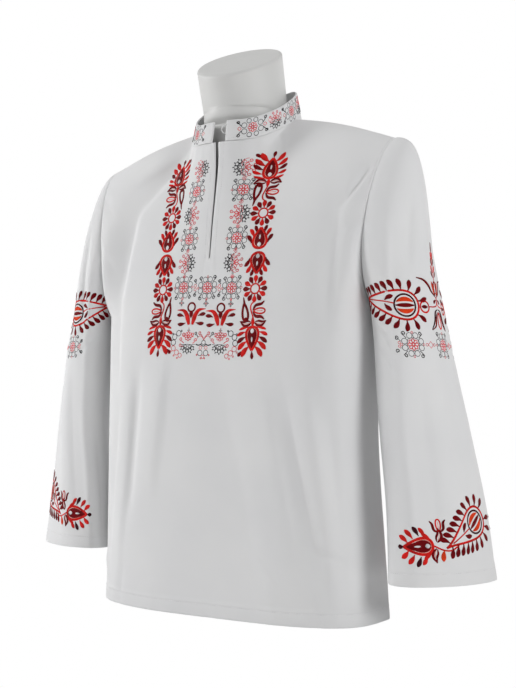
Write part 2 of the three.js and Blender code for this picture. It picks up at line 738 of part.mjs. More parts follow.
// A closed solid through rings, with flat ends fanned from their middles.
function closedTube(grid) {
  const width = grid[0].length;
  const positions = grid.flat().flatMap((point) => point.toArray());
  const faces = [];
  for (let i = 0; i < grid.length - 1; i += 1) {
    for (let j = 0; j < width; j += 1) {
      const a = i * width + j;
      const b = i * width + ((j + 1) % width);
      faces.push(a, b, b + width, a, b + width, a + width);
    }
  }
  const middle = (line) => {
    const sum = new THREE.Vector3();
    line.forEach((point) => sum.add(point));
    return sum.divideScalar(line.length);
  };
  const bottom = positions.length / 3;
  positions.push(...middle(grid[0]).toArray());
  const top = positions.length / 3;
  positions.push(...middle(grid[grid.length - 1]).toArray());
  const offset = (grid.length - 1) * width;
  for (let j = 0; j < width; j += 1) {
    const next = (j + 1) % width;
    faces.push(bottom, next, j);
    faces.push(top, offset + j, offset + next);
  }
  const geometry = new THREE.BufferGeometry();
  geometry.setAttribute("position", new THREE.Float32BufferAttribute(positions, 3));
  geometry.setIndex(faces);
  return geometry;
}

// ---- Assembly -----------------------------------------------------------
const clothMaterial = new THREE.MeshStandardMaterial({ color: 0xe8e8e8, roughness: 0.85 });
const formMaterial = new THREE.MeshStandardMaterial({ color: 0xdedede, roughness: 0.6 });

function piece(name, geometry, material) {
  const mesh = new THREE.Mesh(geometry, material);
  mesh.name = name;
  return mesh;
}

const shirt = new THREE.Group();
shirt.add(piece("front_panel", makeFront(), clothMaterial.clone()));
shirt.add(piece("back_panel", makePanel(1), clothMaterial.clone()));
shirt.add(piece("sleeve_left", makeSleeve(1), clothMaterial.clone()));
shirt.add(piece("sleeve_right", makeSleeve(-1), clothMaterial.clone()));
shirt.add(piece("collar_band", makeCollar(), clothMaterial.clone()));
shirt.add(piece("thread_loop", makeLoop(), clothMaterial.clone()));

const object = new THREE.Group();
object.add(shirt);
object.add(piece("dress_form", makeForm(), formMaterial));

export default object;
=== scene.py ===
"""Looks of an embroidered folk shirt on a limbless dress form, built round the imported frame.

Lengths here are millimetres, +Z up, and become metres as each mesh is made. The lights, the
materials' bumps and the camera's clips are written in metres. The shirt's front faces -Y and
the wearer's left is +X. "across" runs from -1 at the wearer's right side seam to 1 at the left
one, and "facing" is -1 for the front and 1 for the back.
"""

import math

import bpy
import numpy as np
from mathutils import Matrix, Vector
from mathutils.bvhtree import BVHTree


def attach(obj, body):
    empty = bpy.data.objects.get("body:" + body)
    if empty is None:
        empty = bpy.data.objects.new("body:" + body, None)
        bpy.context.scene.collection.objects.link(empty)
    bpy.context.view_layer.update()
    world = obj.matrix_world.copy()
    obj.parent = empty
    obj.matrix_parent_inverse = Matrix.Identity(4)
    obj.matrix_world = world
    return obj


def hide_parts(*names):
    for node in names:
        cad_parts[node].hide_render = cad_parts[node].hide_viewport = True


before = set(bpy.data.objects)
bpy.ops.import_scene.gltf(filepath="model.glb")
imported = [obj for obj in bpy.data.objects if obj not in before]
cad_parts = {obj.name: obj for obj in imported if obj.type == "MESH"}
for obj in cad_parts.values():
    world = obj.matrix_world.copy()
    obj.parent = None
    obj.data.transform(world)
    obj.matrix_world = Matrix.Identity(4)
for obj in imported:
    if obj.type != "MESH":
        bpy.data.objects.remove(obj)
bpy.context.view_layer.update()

METRES = 0.001  # from this script's millimetres to the frame's metres


def table(columns, *rows):
    """Rows of numbers as dictionaries, with the columns' names as keys."""
    return [dict(zip(columns, row)) for row in rows]


# ---- Cloth and seams --------------------------------------------------------------------------
WALL = 1.8  # the frame's cloth wall, whose outer side this cloth follows
CLOTH = 0.9  # the cloth itself, with its seam allowances
COLLAR_WALL = 2.6
SEAM_GROOVE = {"width": 1.5, "depth": 0.9}  # where two pieces turn in along their seam
SEAM_OVERLAP = 0.15  # closes the seams between the sewn pieces
HEM = {"height": 19.0, "extra": 0.55, "stitch_drop": 1.6, "stitch_width": 1.3, "stitch_depth": 0.45}

# ---- The shirt's shape, as in the frame but for the slit and the eased corner -----------------
HEM_Z = 6.0
ARMPIT_Z = 447.0
SHOULDER = np.array([256.0, 0.0, 688.0])  # top of the wearer's left armhole seam
NECK = {
    "half_width": 82.0, "half_depth": 80.0, "middle_y": 4.0, "front_z": 698.0, "back_z": 768.0,
    "level": 25.0, "climb": 125.0, "steep": 0.9,  # the rise to the back: degrees, degrees and share
}
SHOULDER_CROWN = 5.0
SEAM_ANGLE = 96.0  # where the shoulder seam meets the neckline, degrees from the front
NECK_SHARE = 0.36  # share of a panel's half width that ends on the neckline
CORNER_EASE = 90  # how often the bend under the neckline's corner is evened out; the frame has none
BACK_POWER = 3.0
FRONT_POWER = {"left": 4.0, "right": 2.5}
ARMPIT_SHARE = 0.46  # part of the armhole seam where the walls lie face to face
ARMHOLE_HANDLE = np.array([-12.0, 82.0, 5.0])
# The frame's slit is straight and wider: half its opening is 0.5 at the foot, 1.8 midway and
# 3.15 at the neckline.
SLIT = {
    "bottom_z": 521.0, "top_half": 2.6, "bottom_half": 0.05, "ease": 3.6, "reach": 14.0,
    "bow": 3.2, "bow_reach": 60.0,
}
COLLAR = {"height": 31.0, "lean": 6.0, "right_end": 6.0, "left_end": 10.0, "foot": 1.6}
LOOP = {"reach": 7.5, "half": 6.5, "thread": 0.7, "height": 0.56}

BODY_ROWS = table(
    ("z", "left", "right", "front", "back"),
    (HEM_Z, 242, 234, 127, 116),
    (60, 239, 234, 125, 116),
    (130, 234, 234, 122, 116),
    (200, 229, 234, 119, 115),
    (270, 226, 235, 115, 114),
    (340, 227, 236, 111, 113),
    (400, 228, 237, 107, 112),
    (ARMPIT_Z, 229, 238, 102, 111),
)
# Handles of the curve that carries a thread line up over the shoulder, by its place across.
FRONT_HANDLES = table(
    ("across", "x", "y", "z"),
    (0.0, 0, -9, -88),
    (0.2, 0, -26, -66),
    (0.36, 2, -56, -30),
    (0.7, 0, -62, -14),
    (1.0, -13, -70, -40),
)
BACK_HANDLES = table(
    ("across", "x", "y", "z"),
    (0.0, 0, 22, -80),
    (0.2, 0, 36, -62),
    (0.36, 2, 58, -30),
    (0.7, 0, 66, -14),
    (1.0, -13, 72, -40),
)
LEFT_SLEEVE = {
    "rows": table(
        ("z", "x", "y", "long", "short", "turn"),
        (400, 283, -4, 64, 41, 15),
        (280, 300, -6, 71, 42, 22),
        (170, 319, -10, 76, 43, 27),
        (68, 331, -13, 82, 45, 30),
    ),
    "head": {"top": (58, 0, -4), "side": (22, 14, -24), "armpit": (7, 0, -8)},
    "lift": {"top": 200, "side": 90, "armpit": 12},
    "lean": {"top": 6, "side": 4, "armpit": 0},
}
RIGHT_SLEEVE = {
    "rows": table(
        ("z", "x", "y", "long", "short", "turn"),
        (400, 297, -4, 64, 42, 35),
        (280, 312, -6, 70, 42, 50),
        (170, 316, -10, 76, 41, 62),
        (77, 320, -14, 80, 40, 70),
    ),
    "head": {"top": (36, 0, -10), "side": (22, 14, -24), "armpit": (7, 0, -8)},
    "lift": {"top": 190, "side": 90, "armpit": 12},
    "lean": {"top": 32, "side": 8, "armpit": 0},
}

# ---- Folds ------------------------------------------------------------------------------------
# Soft channels (depth below 0) and ridges along a line in a panel's own elevation, which
# runs from x0, z0 to x1, z1. The frame has the front's first nine and the back's first seven,
# unscaled and even on both sides. The front's eighth lies elsewhere there, from 10, 300 to
# 26, 110, and is 26 wide and 3 deep.
FOLD_SCALE = 1.25  # deepens the folds of both panels
FADE_FROM = 1.35  # strength at a fold's middle, before it is held to 1
FADE_RATE = 0.9  # strength lost for each half length away from the middle
FOLD_SIDES = (1.35, 0.6)  # a fold runs out slowly on one side and turns sharply on the other
FOLD_COLUMNS = ("x0", "z0", "x1", "z1", "width", "depth")
FRONT_FOLDS = table(
    FOLD_COLUMNS,
    (-92, 684, -165, 608, 18, -5),
    (-165, 608, -188, 470, 17, -6),
    (-188, 470, -186, 330, 17, -4),
    (-76, 372, -92, 180, 20, 4),
    (-128, 350, -142, 150, 19, -5),
    (132, 330, 196, 50, 21, -6),
    (166, 320, 214, 90, 20, 4),
    (30, 330, 96, 70, 34, -4),
    (198, 600, 190, 420, 15, -4),
    (-84, 706, -184, 652, 12, 2.2),
    (-146, 350, -160, 70, 11, 2.4),
    (-176, 300, -198, 60, 12, -2.6),
    (104, 318, 150, 120, 13, 2.2),
    (196, 300, 222, 40, 11, -2.4),
    (88, 108, 150, 34, 9, 1.6),
    (-214, 74, -190, 40, 7, 1.8),
    (186, 108, 226, 92, 6, -1.2),
)
# Short creases of the front: under the collar, at the slit's foot, by the armholes, over the hem.
FRONT_GATHERS = table(
    FOLD_COLUMNS,
    (-22, 694, -24, 655, 3.6, -1.1),
    (-35, 697, -41, 664, 3.2, -1.3),
    (-48, 700, -60, 668, 3.8, -1.4),
    (-63, 708, -82, 680, 4.0, -1.2),
    (30, 696, 33, 668, 3.6, -0.9),
    (52, 702, 60, 676, 4.2, -1.1),
    (72, 716, 88, 698, 4.0, -1.2),
    (5, 536, 9, 500, 3.4, 0.8),
    (-6, 532, -11, 494, 3.6, -0.8),
    (236, 640, 206, 590, 6, -4.4),
    (232, 566, 200, 548, 6, -1.4),
    (-238, 636, -210, 600, 7, -2.0),
    (-236, 560, -206, 520, 8, -1.8),
    (-150, 62, -156, 8, 9, -1.2),
    (-84, 50, -80, 6, 11, 1.0),
    (20, 44, 26, 6, 10, -1.0),
    (118, 66, 132, 6, 8, 1.4),
    (182, 48, 192, 6, 9, -1.2),
)
BACK_FOLDS = table(
    FOLD_COLUMNS,
    (-110, 660, -176, 560, 17, -5),
    (-176, 560, -170, 330, 18, -5),
    (112, 655, 178, 540, 17, -5),
    (178, 540, 160, 300, 18, -6),
    (-60, 420, -84, 60, 24, -6),
    (40, 400, 74, 50, 24, -5),
    (-10, 330, -6, 70, 26, 4),
    (-130, 380, -152, 90, 15, 3),
    (120, 360, 138, 110, 14, 3),
    (-96, 600, -128, 500, 13, 2.4),
    (84, 590, 118, 470, 14, 2.2),
    (-30, 560, 24, 540, 9, -1.6),
    (190, 300, 206, 60, 12, -2.6),
    (-188, 260, -204, 50, 11, -2.2),
)
BACK_GATHERS = table(
    FOLD_COLUMNS,
    (-20, 764, -24, 726, 4.0, -1.1),
    (-44, 762, -56, 728, 4.4, -1.3),
    (14, 764, 15, 730, 3.8, -1.0),
    (50, 760, 66, 730, 4.4, -1.2),
    (234, 630, 204, 590, 7, -1.8),
    (-234, 640, -206, 604, 7, -1.8),
    (-120, 60, -126, 6, 9, -1.2),
    (-34, 48, -30, 6, 10, 1.0),
    (56, 56, 60, 6, 9, -1.2),
    (150, 44, 156, 6, 8, 1.2),
)
# The sleeves' folds run between two places, each with degrees from the outer middle to the
# front and z; then come their width in degrees and their depth. The frame has none of them.
SLEEVE_FOLDS = {
    "left": [
        ((24, 590), (36, 505), 13, -4.0),
        ((2, 600), (6, 470), 15, 2.6),
        ((60, 560), (76, 440), 12, 2.4),
        ((84, 470), (70, 300), 14, -2.8),
        ((32, 345), (24, 110), 15, -3.0),
        ((4, 330), (-4, 90), 13, 2.4),
        ((58, 300), (52, 80), 12, 2.2),
        ((104, 420), (58, 372), 7, -1.6),
        ((100, 388), (66, 352), 6, -1.2),
        ((-36, 560), (-42, 300), 15, -3.2),
        ((-64, 340), (-58, 100), 14, 2.6),
        ((-96, 420), (-60, 376), 8, -1.6),
        ((-118, 300), (-112, 80), 15, -2.4),
        ((150, 260), (146, 80), 14, -2.0),
    ],
    "right": [
        ((30, 600), (40, 450), 14, 2.8),
        ((56, 600), (66, 420), 12, -3.4),
        ((86, 520), (80, 330), 13, 2.6),
        ((46, 380), (40, 120), 15, -2.8),
        ((72, 330), (66, 90), 12, 2.4),
        ((20, 330), (16, 90), 13, 2.0),
        ((100, 420), (60, 384), 7, -1.6),
        ((94, 240), (90, 80), 12, -2.4),
        ((-30, 580), (-34, 330), 15, -3.0),
        ((-70, 360), (-66, 110), 15, 2.8),
        ((-110, 300), (-104, 90), 14, -2.6),
        ((-92, 430), (-58, 396), 8, -1.6),
    ],
}

# ---- The dress form ---------------------------------------------------------------------------
FORM_ROWS = table(
    ("z", "half", "front", "back"),
    (0, 168, 92, 88),
    (6, 174, 97, 93),
    (120, 183, 101, 98),
    (260, 168, 92, 88),
    (420, 176, 90, 92),
    (560, 190, 74, 84),
    (630, 200, 56, 66),
    (660, 203, 38, 46),
)
FORM_TOP = table(
    ("x", "front", "back", "gap"),
    (200, 21, 24, 2.0),
    (178, 18, 21, 2.3),
    (150, 15, 19, 2.3),
    (120, 14, 19, 3.2),
    (100, 12, 16, 5.0),
)
NECK_FOOT = table(
    ("rise", "half"),
    (2, 86),
    (7, 72),
    (14, 58),
    (22, 40),
)
FORM_BLEND = 9.0
FORM_POWER = {"body": 2.2, "top": 2.0}
NECK_BLOCK = {
    "radius": 65.5, "foot_y": 3.0, "top_y": -15.0, "top_z": 836.0,
    "rise": 0.55, "tilt": -0.1, "round": 5.0,
}

# ---- Embroidery -------------------------------------------------------------------------------
STRIP_X = 80.0  # middle line of the front's outer strips
FRONT_MIDDLE_Z = 505.0  # level about which those strips are mirrored
SLEEVE_MIDDLE = {"left": 0.0, "right": 27.0}  # outer middle of the sleeves' bands, degrees to the front
THREADS = {  # sRGB colours of the threads
    "maroon": (108, 0, 10), "red": (200, 30, 26), "wine": (56, 4, 16), "black": (26, 20, 24),
    "coral": (214, 62, 72), "orange": (214, 62, 26), "pale": (238, 140, 124), "white": (214, 214, 216),
}

# ---- Camera and light -------------------------------------------------------------------------
CAMERA = {"azimuth": 33.0, "distance": 1800.0, "height": 320.0, "pitch": 2.54, "turn": 0.635}
FOCAL_PIXELS = 1173.0
PHOTO = {"width": 516, "height": 688}
STUDIO = {"light": 0.27, "paper": 1.0, "key": 54, "fill": 40, "front": 4, "back": 22, "top": 11}


# ---- Tables and curves ------------------------------------------------------------------------
def mix(a, b, t):
    return a + (b - a) * t


def smooth(t):
    t = np.clip(t, 0.0, 1.0)
    return t * t * (3 - 2 * t)


def bell(distance, width):
    return np.exp(-((distance / width) ** 2))


def unit(vectors):
    return vectors / np.maximum(np.linalg.norm(vectors, axis=-1, keepdims=True), 1e-9)


def read_table(rows, key, places):
    """Every column of a table at places between its rows, along a Catmull-Rom curve."""
    rows = sorted(rows, key=lambda row: row[key])
    keys = np.array([row[key] for row in rows], float)
    places = np.clip(np.asarray(places, float), keys[0], keys[-1])
    below = np.clip(np.searchsorted(keys, places, side="right") - 1, 0, len(keys) - 2)
    span = keys[below + 1] - keys[below]
    t = (places - keys[below]) / span
    found = {}
    for name in rows[0]:
        values = np.array([row[name] for row in rows], float)
        before = np.concatenate([[0], np.arange(len(keys) - 1)])
        after = np.concatenate([np.arange(1, len(keys)), [len(keys) - 1]])
        slopes = (values[after] - values[before]) / (keys[after] - keys[before])
        found[name] = (
            (2 * t**3 - 3 * t**2 + 1) * values[below]
            + (t**3 - 2 * t**2 + t) * slopes[below] * span
            + (3 * t**2 - 2 * t**3) * values[below + 1]
            + (t**3 - t**2) * slopes[below + 1] * span
        )
    return found


def bezier(a, b, c, d, t):
    s = 1 - t
    return a * s**3 + b * 3 * s * s * t + c * 3 * s * t * t + d * t**3


def lengths_along(points, axis):
    """Length walked along one axis of a grid of points, from its first one."""
    steps = np.linalg.norm(np.diff(points, axis=axis), axis=-1)
    shape = list(steps.shape)
    shape[axis] = 1
    return np.concatenate([np.zeros(shape), np.cumsum(steps, axis=axis)], axis=axis)


# ---- Front and back panels --------------------------------------------------------------------
def quarter_section(half, depth, power, facing, share):
    """From a panel's middle (share 0) to its side seam (share 1), walked by length."""
    t = np.linspace(0, 1, 241)
    angle = smooth(t) * math.pi / 2
    if facing > 0:
        x = half * np.sin(angle)
        y = depth * (1 - np.sin(angle) ** power)
    else:
        x = half * np.sin(angle) ** (2 / power)
        y = depth * np.clip(np.cos(angle), 0, 1) ** (2 / power)
    walked = np.concatenate([[0], np.cumsum(np.hypot(np.diff(x), np.diff(y)))])
    target = share * walked[-1]
    return np.interp(target, walked, x), np.interp(target, walked, y)


def body_points(facing, across, heights):
    """A grid of points, a row for each height and a column for each place across."""
    row = read_table(BODY_ROWS, "z", heights)
    points = np.zeros((len(heights), len(across), 3))
    points[..., 2] = np.asarray(heights)[:, None]
    for side, name, mask in ((-1, "right", across < 0), (1, "left", across >= 0)):
        power = BACK_POWER if facing > 0 else FRONT_POWER[name]
        depth = row["back"] if facing > 0 else row["front"]
        for i in range(len(heights)):
            x, y = quarter_section(row[name][i], depth[i], power, facing, np.abs(across[mask]))
            points[i, mask, 0] = side * x
            points[i, mask, 1] = facing * y
    return points


def neckline(degrees):
    angle = np.radians(np.asarray(degrees, float))
    turn = np.abs((np.asarray(degrees, float) + 180) % 360 - 180)
    rise = mix(turn / 180, smooth((turn - NECK["level"]) / NECK["climb"]), NECK["steep"])
    return np.stack(
        [
            NECK["half_width"] * np.sin(angle),
            NECK["middle_y"] - NECK["half_depth"] * np.cos(angle),
            mix(NECK["front_z"], NECK["back_z"], rise),
        ],
        -1,
    )


def neck_degrees(facing, out):
    """Angle round the neckline of a panel's place across, out to the shoulder seam."""
    share = np.clip(out / NECK_SHARE, 0, 1)
    return SEAM_ANGLE * share if facing < 0 else 180 - (180 - SEAM_ANGLE) * share


def shoulder_line(side, share):
    """The shoulder seam from the neckline (share 0) to the armhole (share 1)."""
    start = neckline(side * SEAM_ANGLE)
    end = np.stack([side * SHOULDER[0], 0 * side + SHOULDER[1], 0 * side + SHOULDER[2]], -1)
    line = start + (end - start) * share[:, None]
    line[:, 2] += SHOULDER_CROWN * np.sin(share * math.pi)
    return line


def top_points(facing, across):
    side = np.where(across < 0, -1.0, 1.0)
    out = np.abs(across)
    neck = neckline(side * neck_degrees(facing, out))
    seam = shoulder_line(side, np.clip((out - NECK_SHARE) / (1 - NECK_SHARE), 0, 1))
    return np.where((out <= NECK_SHARE)[:, None], neck, seam)


def yoke_points(facing, across, shares):
    """The cloth from the armpit's level (share 0) up to its top edge (share 1)."""
    side = np.where(across < 0, -1.0, 1.0)
    out = np.abs(across)
    below, start = body_points(facing, across, [ARMPIT_Z - 30, ARMPIT_Z])
    end = top_points(facing, across)
    handle = read_table(FRONT_HANDLES if facing < 0 else BACK_HANDLES, "across", out)
    edge = smooth((out - 0.66) / 0.34)[:, None]
    lift = (end[:, 2:] - start[:, 2:]) * 0.36
    plain = start + (start - below) * lift / 30
    armhole = start + np.stack(
        [side * ARMHOLE_HANDLE[0], 0 * side + facing * ARMHOLE_HANDLE[1], 0 * side + ARMHOLE_HANDLE[2]], -1
    )
    first = mix(plain, armhole, edge)
    second = end + np.stack([side * handle["x"], handle["y"], handle["z"]], -1)
    t = np.asarray(shares, float)[:, None, None]
    return bezier(start[None], first[None], second[None], end[None], t)


def fold_fade(along):
    """A fold's strength: full near its middle, and gone a quarter of its length past each end."""
    return smooth(FADE_FROM - np.abs(2 * along - 1) * FADE_RATE)


def fold_height(folds, x, z):
    """How far the folds move the cloth outwards."""
    height = np.zeros_like(x)
    for fold in folds:
        run = np.array([fold["x1"] - fold["x0"], fold["z1"] - fold["z0"]], float)
        length = np.hypot(*run)
        along = ((x - fold["x0"]) * run[0] + (z - fold["z0"]) * run[1]) / length**2
        off = ((x - fold["x0"]) * run[1] - (z - fold["z0"]) * run[0]) / length
        fade = fold_fade(along)
        height += fold["depth"] * fade * bell(off, fold["width"] * np.where(off > 0, *FOLD_SIDES))
    return height


def sleeve_fold_height(folds, degrees, z):
    """How far a sleeve's folds move its cloth outwards; degrees run round from its middle."""
    height = np.zeros_like(z)
    for (a0, z0), (a1, z1), width, depth in folds:
        along = np.clip((z - z0) / (z1 - z0), -0.5, 1.5)
        off = (degrees[None] - mix(a0, a1, along) + 180) % 360 - 180
        fade = fold_fade(along)
        height += depth * fade * bell(off, width * np.where(off > 0, *FOLD_SIDES))
    return height


def grid_normals(grid, wrap):
    """Outward directions of a grid whose columns run anticlockwise seen from outside."""
    if wrap:
        across = np.roll(grid, -1, axis=1) - np.roll(grid, 1, axis=1)
    else:
        across = np.gradient(grid, axis=1)
    return unit(np.cross(across, np.gradient(grid, axis=0)))


# ---- Meshes -----------------------------------------------------------------------------------
def make_mesh(name, points, faces, uv=None):
    """An object with smooth faces. points are millimetres; uv is a pair for each point."""
    mesh = bpy.data.meshes.new(name)
    points = np.asarray(points, np.float32) * METRES
    faces = [tuple(int(i) for i in face) for face in faces]
    mesh.from_pydata([tuple(p) for p in points.tolist()], [], faces)
    mesh.polygons.foreach_set("use_smooth", [True] * len(mesh.polygons))
    if uv is not None:
        layer = mesh.uv_layers.new(name="threads")
        corner = np.zeros(len(mesh.loops), np.int32)
        mesh.loops.foreach_get("vertex_index", corner)
        layer.data.foreach_set("uv", np.asarray(uv, np.float32)[corner].ravel())
    mesh.update()
    piece = bpy.data.objects.new(name, mesh)
    bpy.context.scene.collection.objects.link(piece)
    return piece


def shell_faces(rows, columns, wrap, open_quad=None):
    """Faces of a two-layer wall over a grid, with a rim wherever a quad has no neighbour."""
    wide = columns if wrap else columns - 1
    kept = np.ones((rows - 1, wide), bool) if open_quad is None else ~open_quad
    inner = rows * columns
    faces = []
    for i in range(rows - 1):
        for j in range(wide):
            if not kept[i, j]:
                continue
            a = i * columns + j
            b = i * columns + (j + 1) % columns
            c = b + columns
            d = a + columns
            faces.append((a, b, c, d))
            faces.append((inner + d, inner + c, inner + b, inner + a))
            left = kept[i, (j - 1) % wide] if wrap or j > 0 else False
            right = kept[i, (j + 1) % wide] if wrap or j < wide - 1 else False
            if i == 0 or not kept[i - 1, j]:
                faces.append((inner + a, inner + b, b, a))
            if i == rows - 2 or not kept[i + 1, j]:
                faces.append((inner + c, inner + d, d, c))
            if not left:
                faces.append((inner + d, inner + a, a, d))
            if not right:
                faces.append((inner + b, inner + c, c, b))
    return faces


def grid_faces(rows, columns, wrap):
    """Faces of a one-layer grid whose columns may close on themselves."""
    faces = []
    for i in range(rows - 1):
        for j in range(columns if wrap else columns - 1):
            k = (j + 1) % columns
            a = i * columns
            b = a + columns
            faces.append((a + j, a + k, b + k, b + j))
    return faces


def make_shell(name, outer, inner, wrap, uv, open_quad=None):
    rows, columns = outer.shape[:2]
    points = np.concatenate([outer.reshape(-1, 3), inner.reshape(-1, 3)])
    faces = shell_faces(rows, columns, wrap, open_quad)
    return make_mesh(name, points, faces, np.concatenate([uv.reshape(-1, 2)] * 2))


def spread(low, high, step, fine=()):
    """Places from low to high about a step apart, with a few fine ones at both ends."""
    count = max(2, int(round((high - low) / step)))
    places = np.linspace(low, high, count + 1)
    near = [low + f for f in fine] + [high - f for f in fine]
    far = places[(places > low + max(fine, default=0)) & (places < high - max(fine, default=0))]
    return np.unique(np.round(np.concatenate([[low, high], near, far]), 6))


EDGE_STEPS = (0.5, 1.1, 1.9, 3.0)  # fine steps beside a seam, where the cloth turns in


def panel_rows():
    """Heights of the rows below the armpit, then shares of the rows above it."""
    stitch = HEM_Z + HEM["height"]
    hem = [HEM_Z, HEM_Z + 0.5, HEM_Z + 1.2, HEM_Z + 3, stitch - 2.4, stitch - 1.2, stitch, stitch + 1.2]
    plain = np.arange(stitch + 3, ARMPIT_Z - 2, 4.2)
    heights = np.array(hem[:4] + [HEM_Z + 7, HEM_Z + 12] + hem[4:] + list(plain))
    shares = np.concatenate([np.linspace(0, 0.97, 64), [0.98, 0.988, 0.994, 0.998, 1.0]])
    return heights, shares


def hem_relief(height):
    """Extra thickness of the turned-up hem, with a dip along its line of stitches."""
    hem = HEM["extra"] * (1 - smooth((height - HEM["height"] - 0.6) / 2.2))
    dip = HEM["stitch_depth"] * bell(height - HEM["height"] + HEM["stitch_drop"], HEM["stitch_width"])
    edge = 0.45 * bell(height, 0.9)
    return hem - dip - edge


def make_panel(facing):
    heights, shares = panel_rows()
    half = spread(0, 300, 4.0, EDGE_STEPS) / 300
    half = half[half > 0.002]
    centre = SLIT["reach"] / 300
    half = np.unique(np.concatenate([half[half > centre], np.linspace(0.0004, centre, 6)]))
    across = -facing * np.concatenate([-half[::-1], half])
    grid = np.concatenate([body_points(facing, across, heights), yoke_points(facing, across, shares)])
    share = np.concatenate([np.zeros(len(heights)), shares])[:, None]
    grid = ease_corner(grid, across, share)
    normals = grid_normals(grid, False)
    calm = smooth((1 - np.abs(across)) / 0.12)[None] * smooth((1 - share) * 4)
    folds = fold_height(FRONT_FOLDS if facing < 0 else BACK_FOLDS, grid[..., 0], grid[..., 2])
    gathers = fold_height(FRONT_GATHERS if facing < 0 else BACK_GATHERS, grid[..., 0], grid[..., 2])
    near = smooth((1 - np.abs(across)) / 0.03)[None] * smooth((1 - share) * 40)
    grid = grid + normals * (folds * calm * FOLD_SCALE + gathers * near)[..., None]
    normals = panel_normals(facing, grid, across, share)
    side_gap = np.minimum(lengths_along(grid, 1), lengths_along(grid[:, ::-1], 1)[:, ::-1])
    top_gap = lengths_along(grid[::-1], 0)[::-1]
    groove = SEAM_GROOVE["depth"] * np.maximum(
        bell(side_gap, SEAM_GROOVE["width"]), bell(top_gap, SEAM_GROOVE["width"])
    )
    relief = hem_relief(lengths_along(grid, 0)) - groove
    if facing < 0:
        grid = open_slit(grid)
    outer = grid + normals * (WALL + relief)[..., None]
    inner = grid + normals * (WALL - CLOTH - groove * 0.3)[..., None]
    uv = np.stack([lengths_along(outer, 1), lengths_along(outer, 0)], -1)
    name = "front_cloth" if facing < 0 else "back_cloth"
    slit = None
    if facing < 0:
        slit = np.zeros((grid.shape[0] - 1, grid.shape[1] - 1), bool)
        middle = len(half) - 1
        slit[grid[:-1, middle, 2] > SLIT["bottom_z"], middle] = True
    piece = make_shell(name, outer, inner, False, uv, slit)
    return piece, outer


def ease_corner(grid, across, share):
    """Spreads the bend that runs down from the corner between neckline and shoulder seam."""
    near = bell(np.abs(across) - NECK_SHARE, 0.22)[None]
    weight = (0.5 * near * smooth((1 - share) * 5) * smooth(share * 4))[..., None]
    for _ in range(CORNER_EASE):
        middle = (grid[:, 2:] + grid[:, :-2]) / 2 - grid[:, 1:-1]
        grid[:, 1:-1] += weight[:, 1:-1] * middle
    return grid


def panel_normals(facing, grid, across, share):
    """The grid's own directions, turned near the seams to the one both pieces share."""
    normals = grid_normals(grid, False)
    side = np.where(across < 0, -1.0, 1.0)
    sideways = np.stack([side, 0 * side, 0 * side], -1)
    armhole = armhole_normals(side, facing, share[:, 0], sideways)
    seam = np.where(share[..., None] <= 0, sideways[None], armhole)
    edge_gap = np.minimum(lengths_along(grid, 1), lengths_along(grid[:, ::-1], 1)[:, ::-1])
    weight = bell(edge_gap, 9.0)[..., None]
    normals = unit(mix(normals, seam, weight))
    out = np.abs(across)
    neck = neckline_normals(side * neck_degrees(facing, out))
    slope = (NECK["front_z"] - SHOULDER[2] + 55) / (SHOULDER[0] - NECK["half_width"])
    lean = mix(0.2, slope + 0.05, np.clip((out - NECK_SHARE) / (1 - NECK_SHARE), 0, 1))
    shoulder = unit(np.stack([side * lean, 0 * side, 0 * side + 1], -1))
    top = np.where((out < NECK_SHARE)[:, None], neck, shoulder)
    weight = bell(lengths_along(grid[::-1], 0)[::-1], 9.0)[..., None]
    return unit(mix(normals, top[None], weight))


def armhole_normals(side, facing, shares, armpit):
    """Directions of the cloth along the armhole seam: a row for each share."""
    shares = np.asarray(shares, float)[:, None]
    low = (1 - smooth(shares / ARMPIT_SHARE))[..., None]
    seam = np.stack(
        [
            side[None] * 0.45 + 0 * shares,
            facing * 0.9 * np.sin(shares * math.pi) + 0 * side[None],
            0.9 * smooth((shares - 0.45) / 0.55) + 0 * side[None],
        ],
        -1,
    )
    return unit(mix(unit(seam), armpit[None], low))


def neckline_normals(degrees):
    angle = np.radians(degrees)
    return unit(np.stack([0.94 * np.sin(angle), -0.94 * np.cos(angle), 0 * angle + 0.34], -1))


def open_slit(grid):
    """Moves the cloth beside the middle of the front apart, above the slit's foot."""
    rise = np.clip((grid[..., 2] - SLIT["bottom_z"]) / (NECK["front_z"] - SLIT["bottom_z"]), 0, 1)
    half = mix(SLIT["bottom_half"], SLIT["top_half"], rise ** SLIT["ease"])
    half = np.where(grid[..., 2] > SLIT["bottom_z"], half, 0)
    moved = grid.copy()
    reach = 1 - smooth(np.abs(grid[..., 0]) / SLIT["reach"])
    moved[..., 0] += np.sign(grid[..., 0]) * half * reach
    near = 1 - smooth(np.abs(grid[..., 0]) / SLIT["bow_reach"])
    moved[..., 0] += SLIT["bow"] * np.sin(math.pi * rise**2.2) * near
    return moved


# ---- Sleeves ----------------------------------------------------------------------------------
def around(values, angle):
    """Mixes values at the sleeve's top, its front or back, and its armpit."""
    top = np.maximum(0, np.cos(angle)) ** 2
    low = np.maximum(0, -np.cos(angle)) ** 2
    return values["top"] * top + values["armpit"] * low + values["side"] * (1 - top - low)


def sleeve_sections(rows, side, heights, angle):
    """A grid of points: a row for each height and a column for each angle."""
    row = {name: value[:, None] for name, value in read_table(rows, "z", heights).items()}
    turn = np.radians(row["turn"])
    long = np.sin(angle)[None]
    short = np.cos(angle)[None]
    x = row["x"] + np.cos(turn) * row["short"] * short - np.sin(turn) * row["long"] * long
    y = row["y"] - np.sin(turn) * row["short"] * short - np.cos(turn) * row["long"] * long
    return np.stack([side * x, y, np.asarray(heights, float)[:, None] + 0 * x], -1)


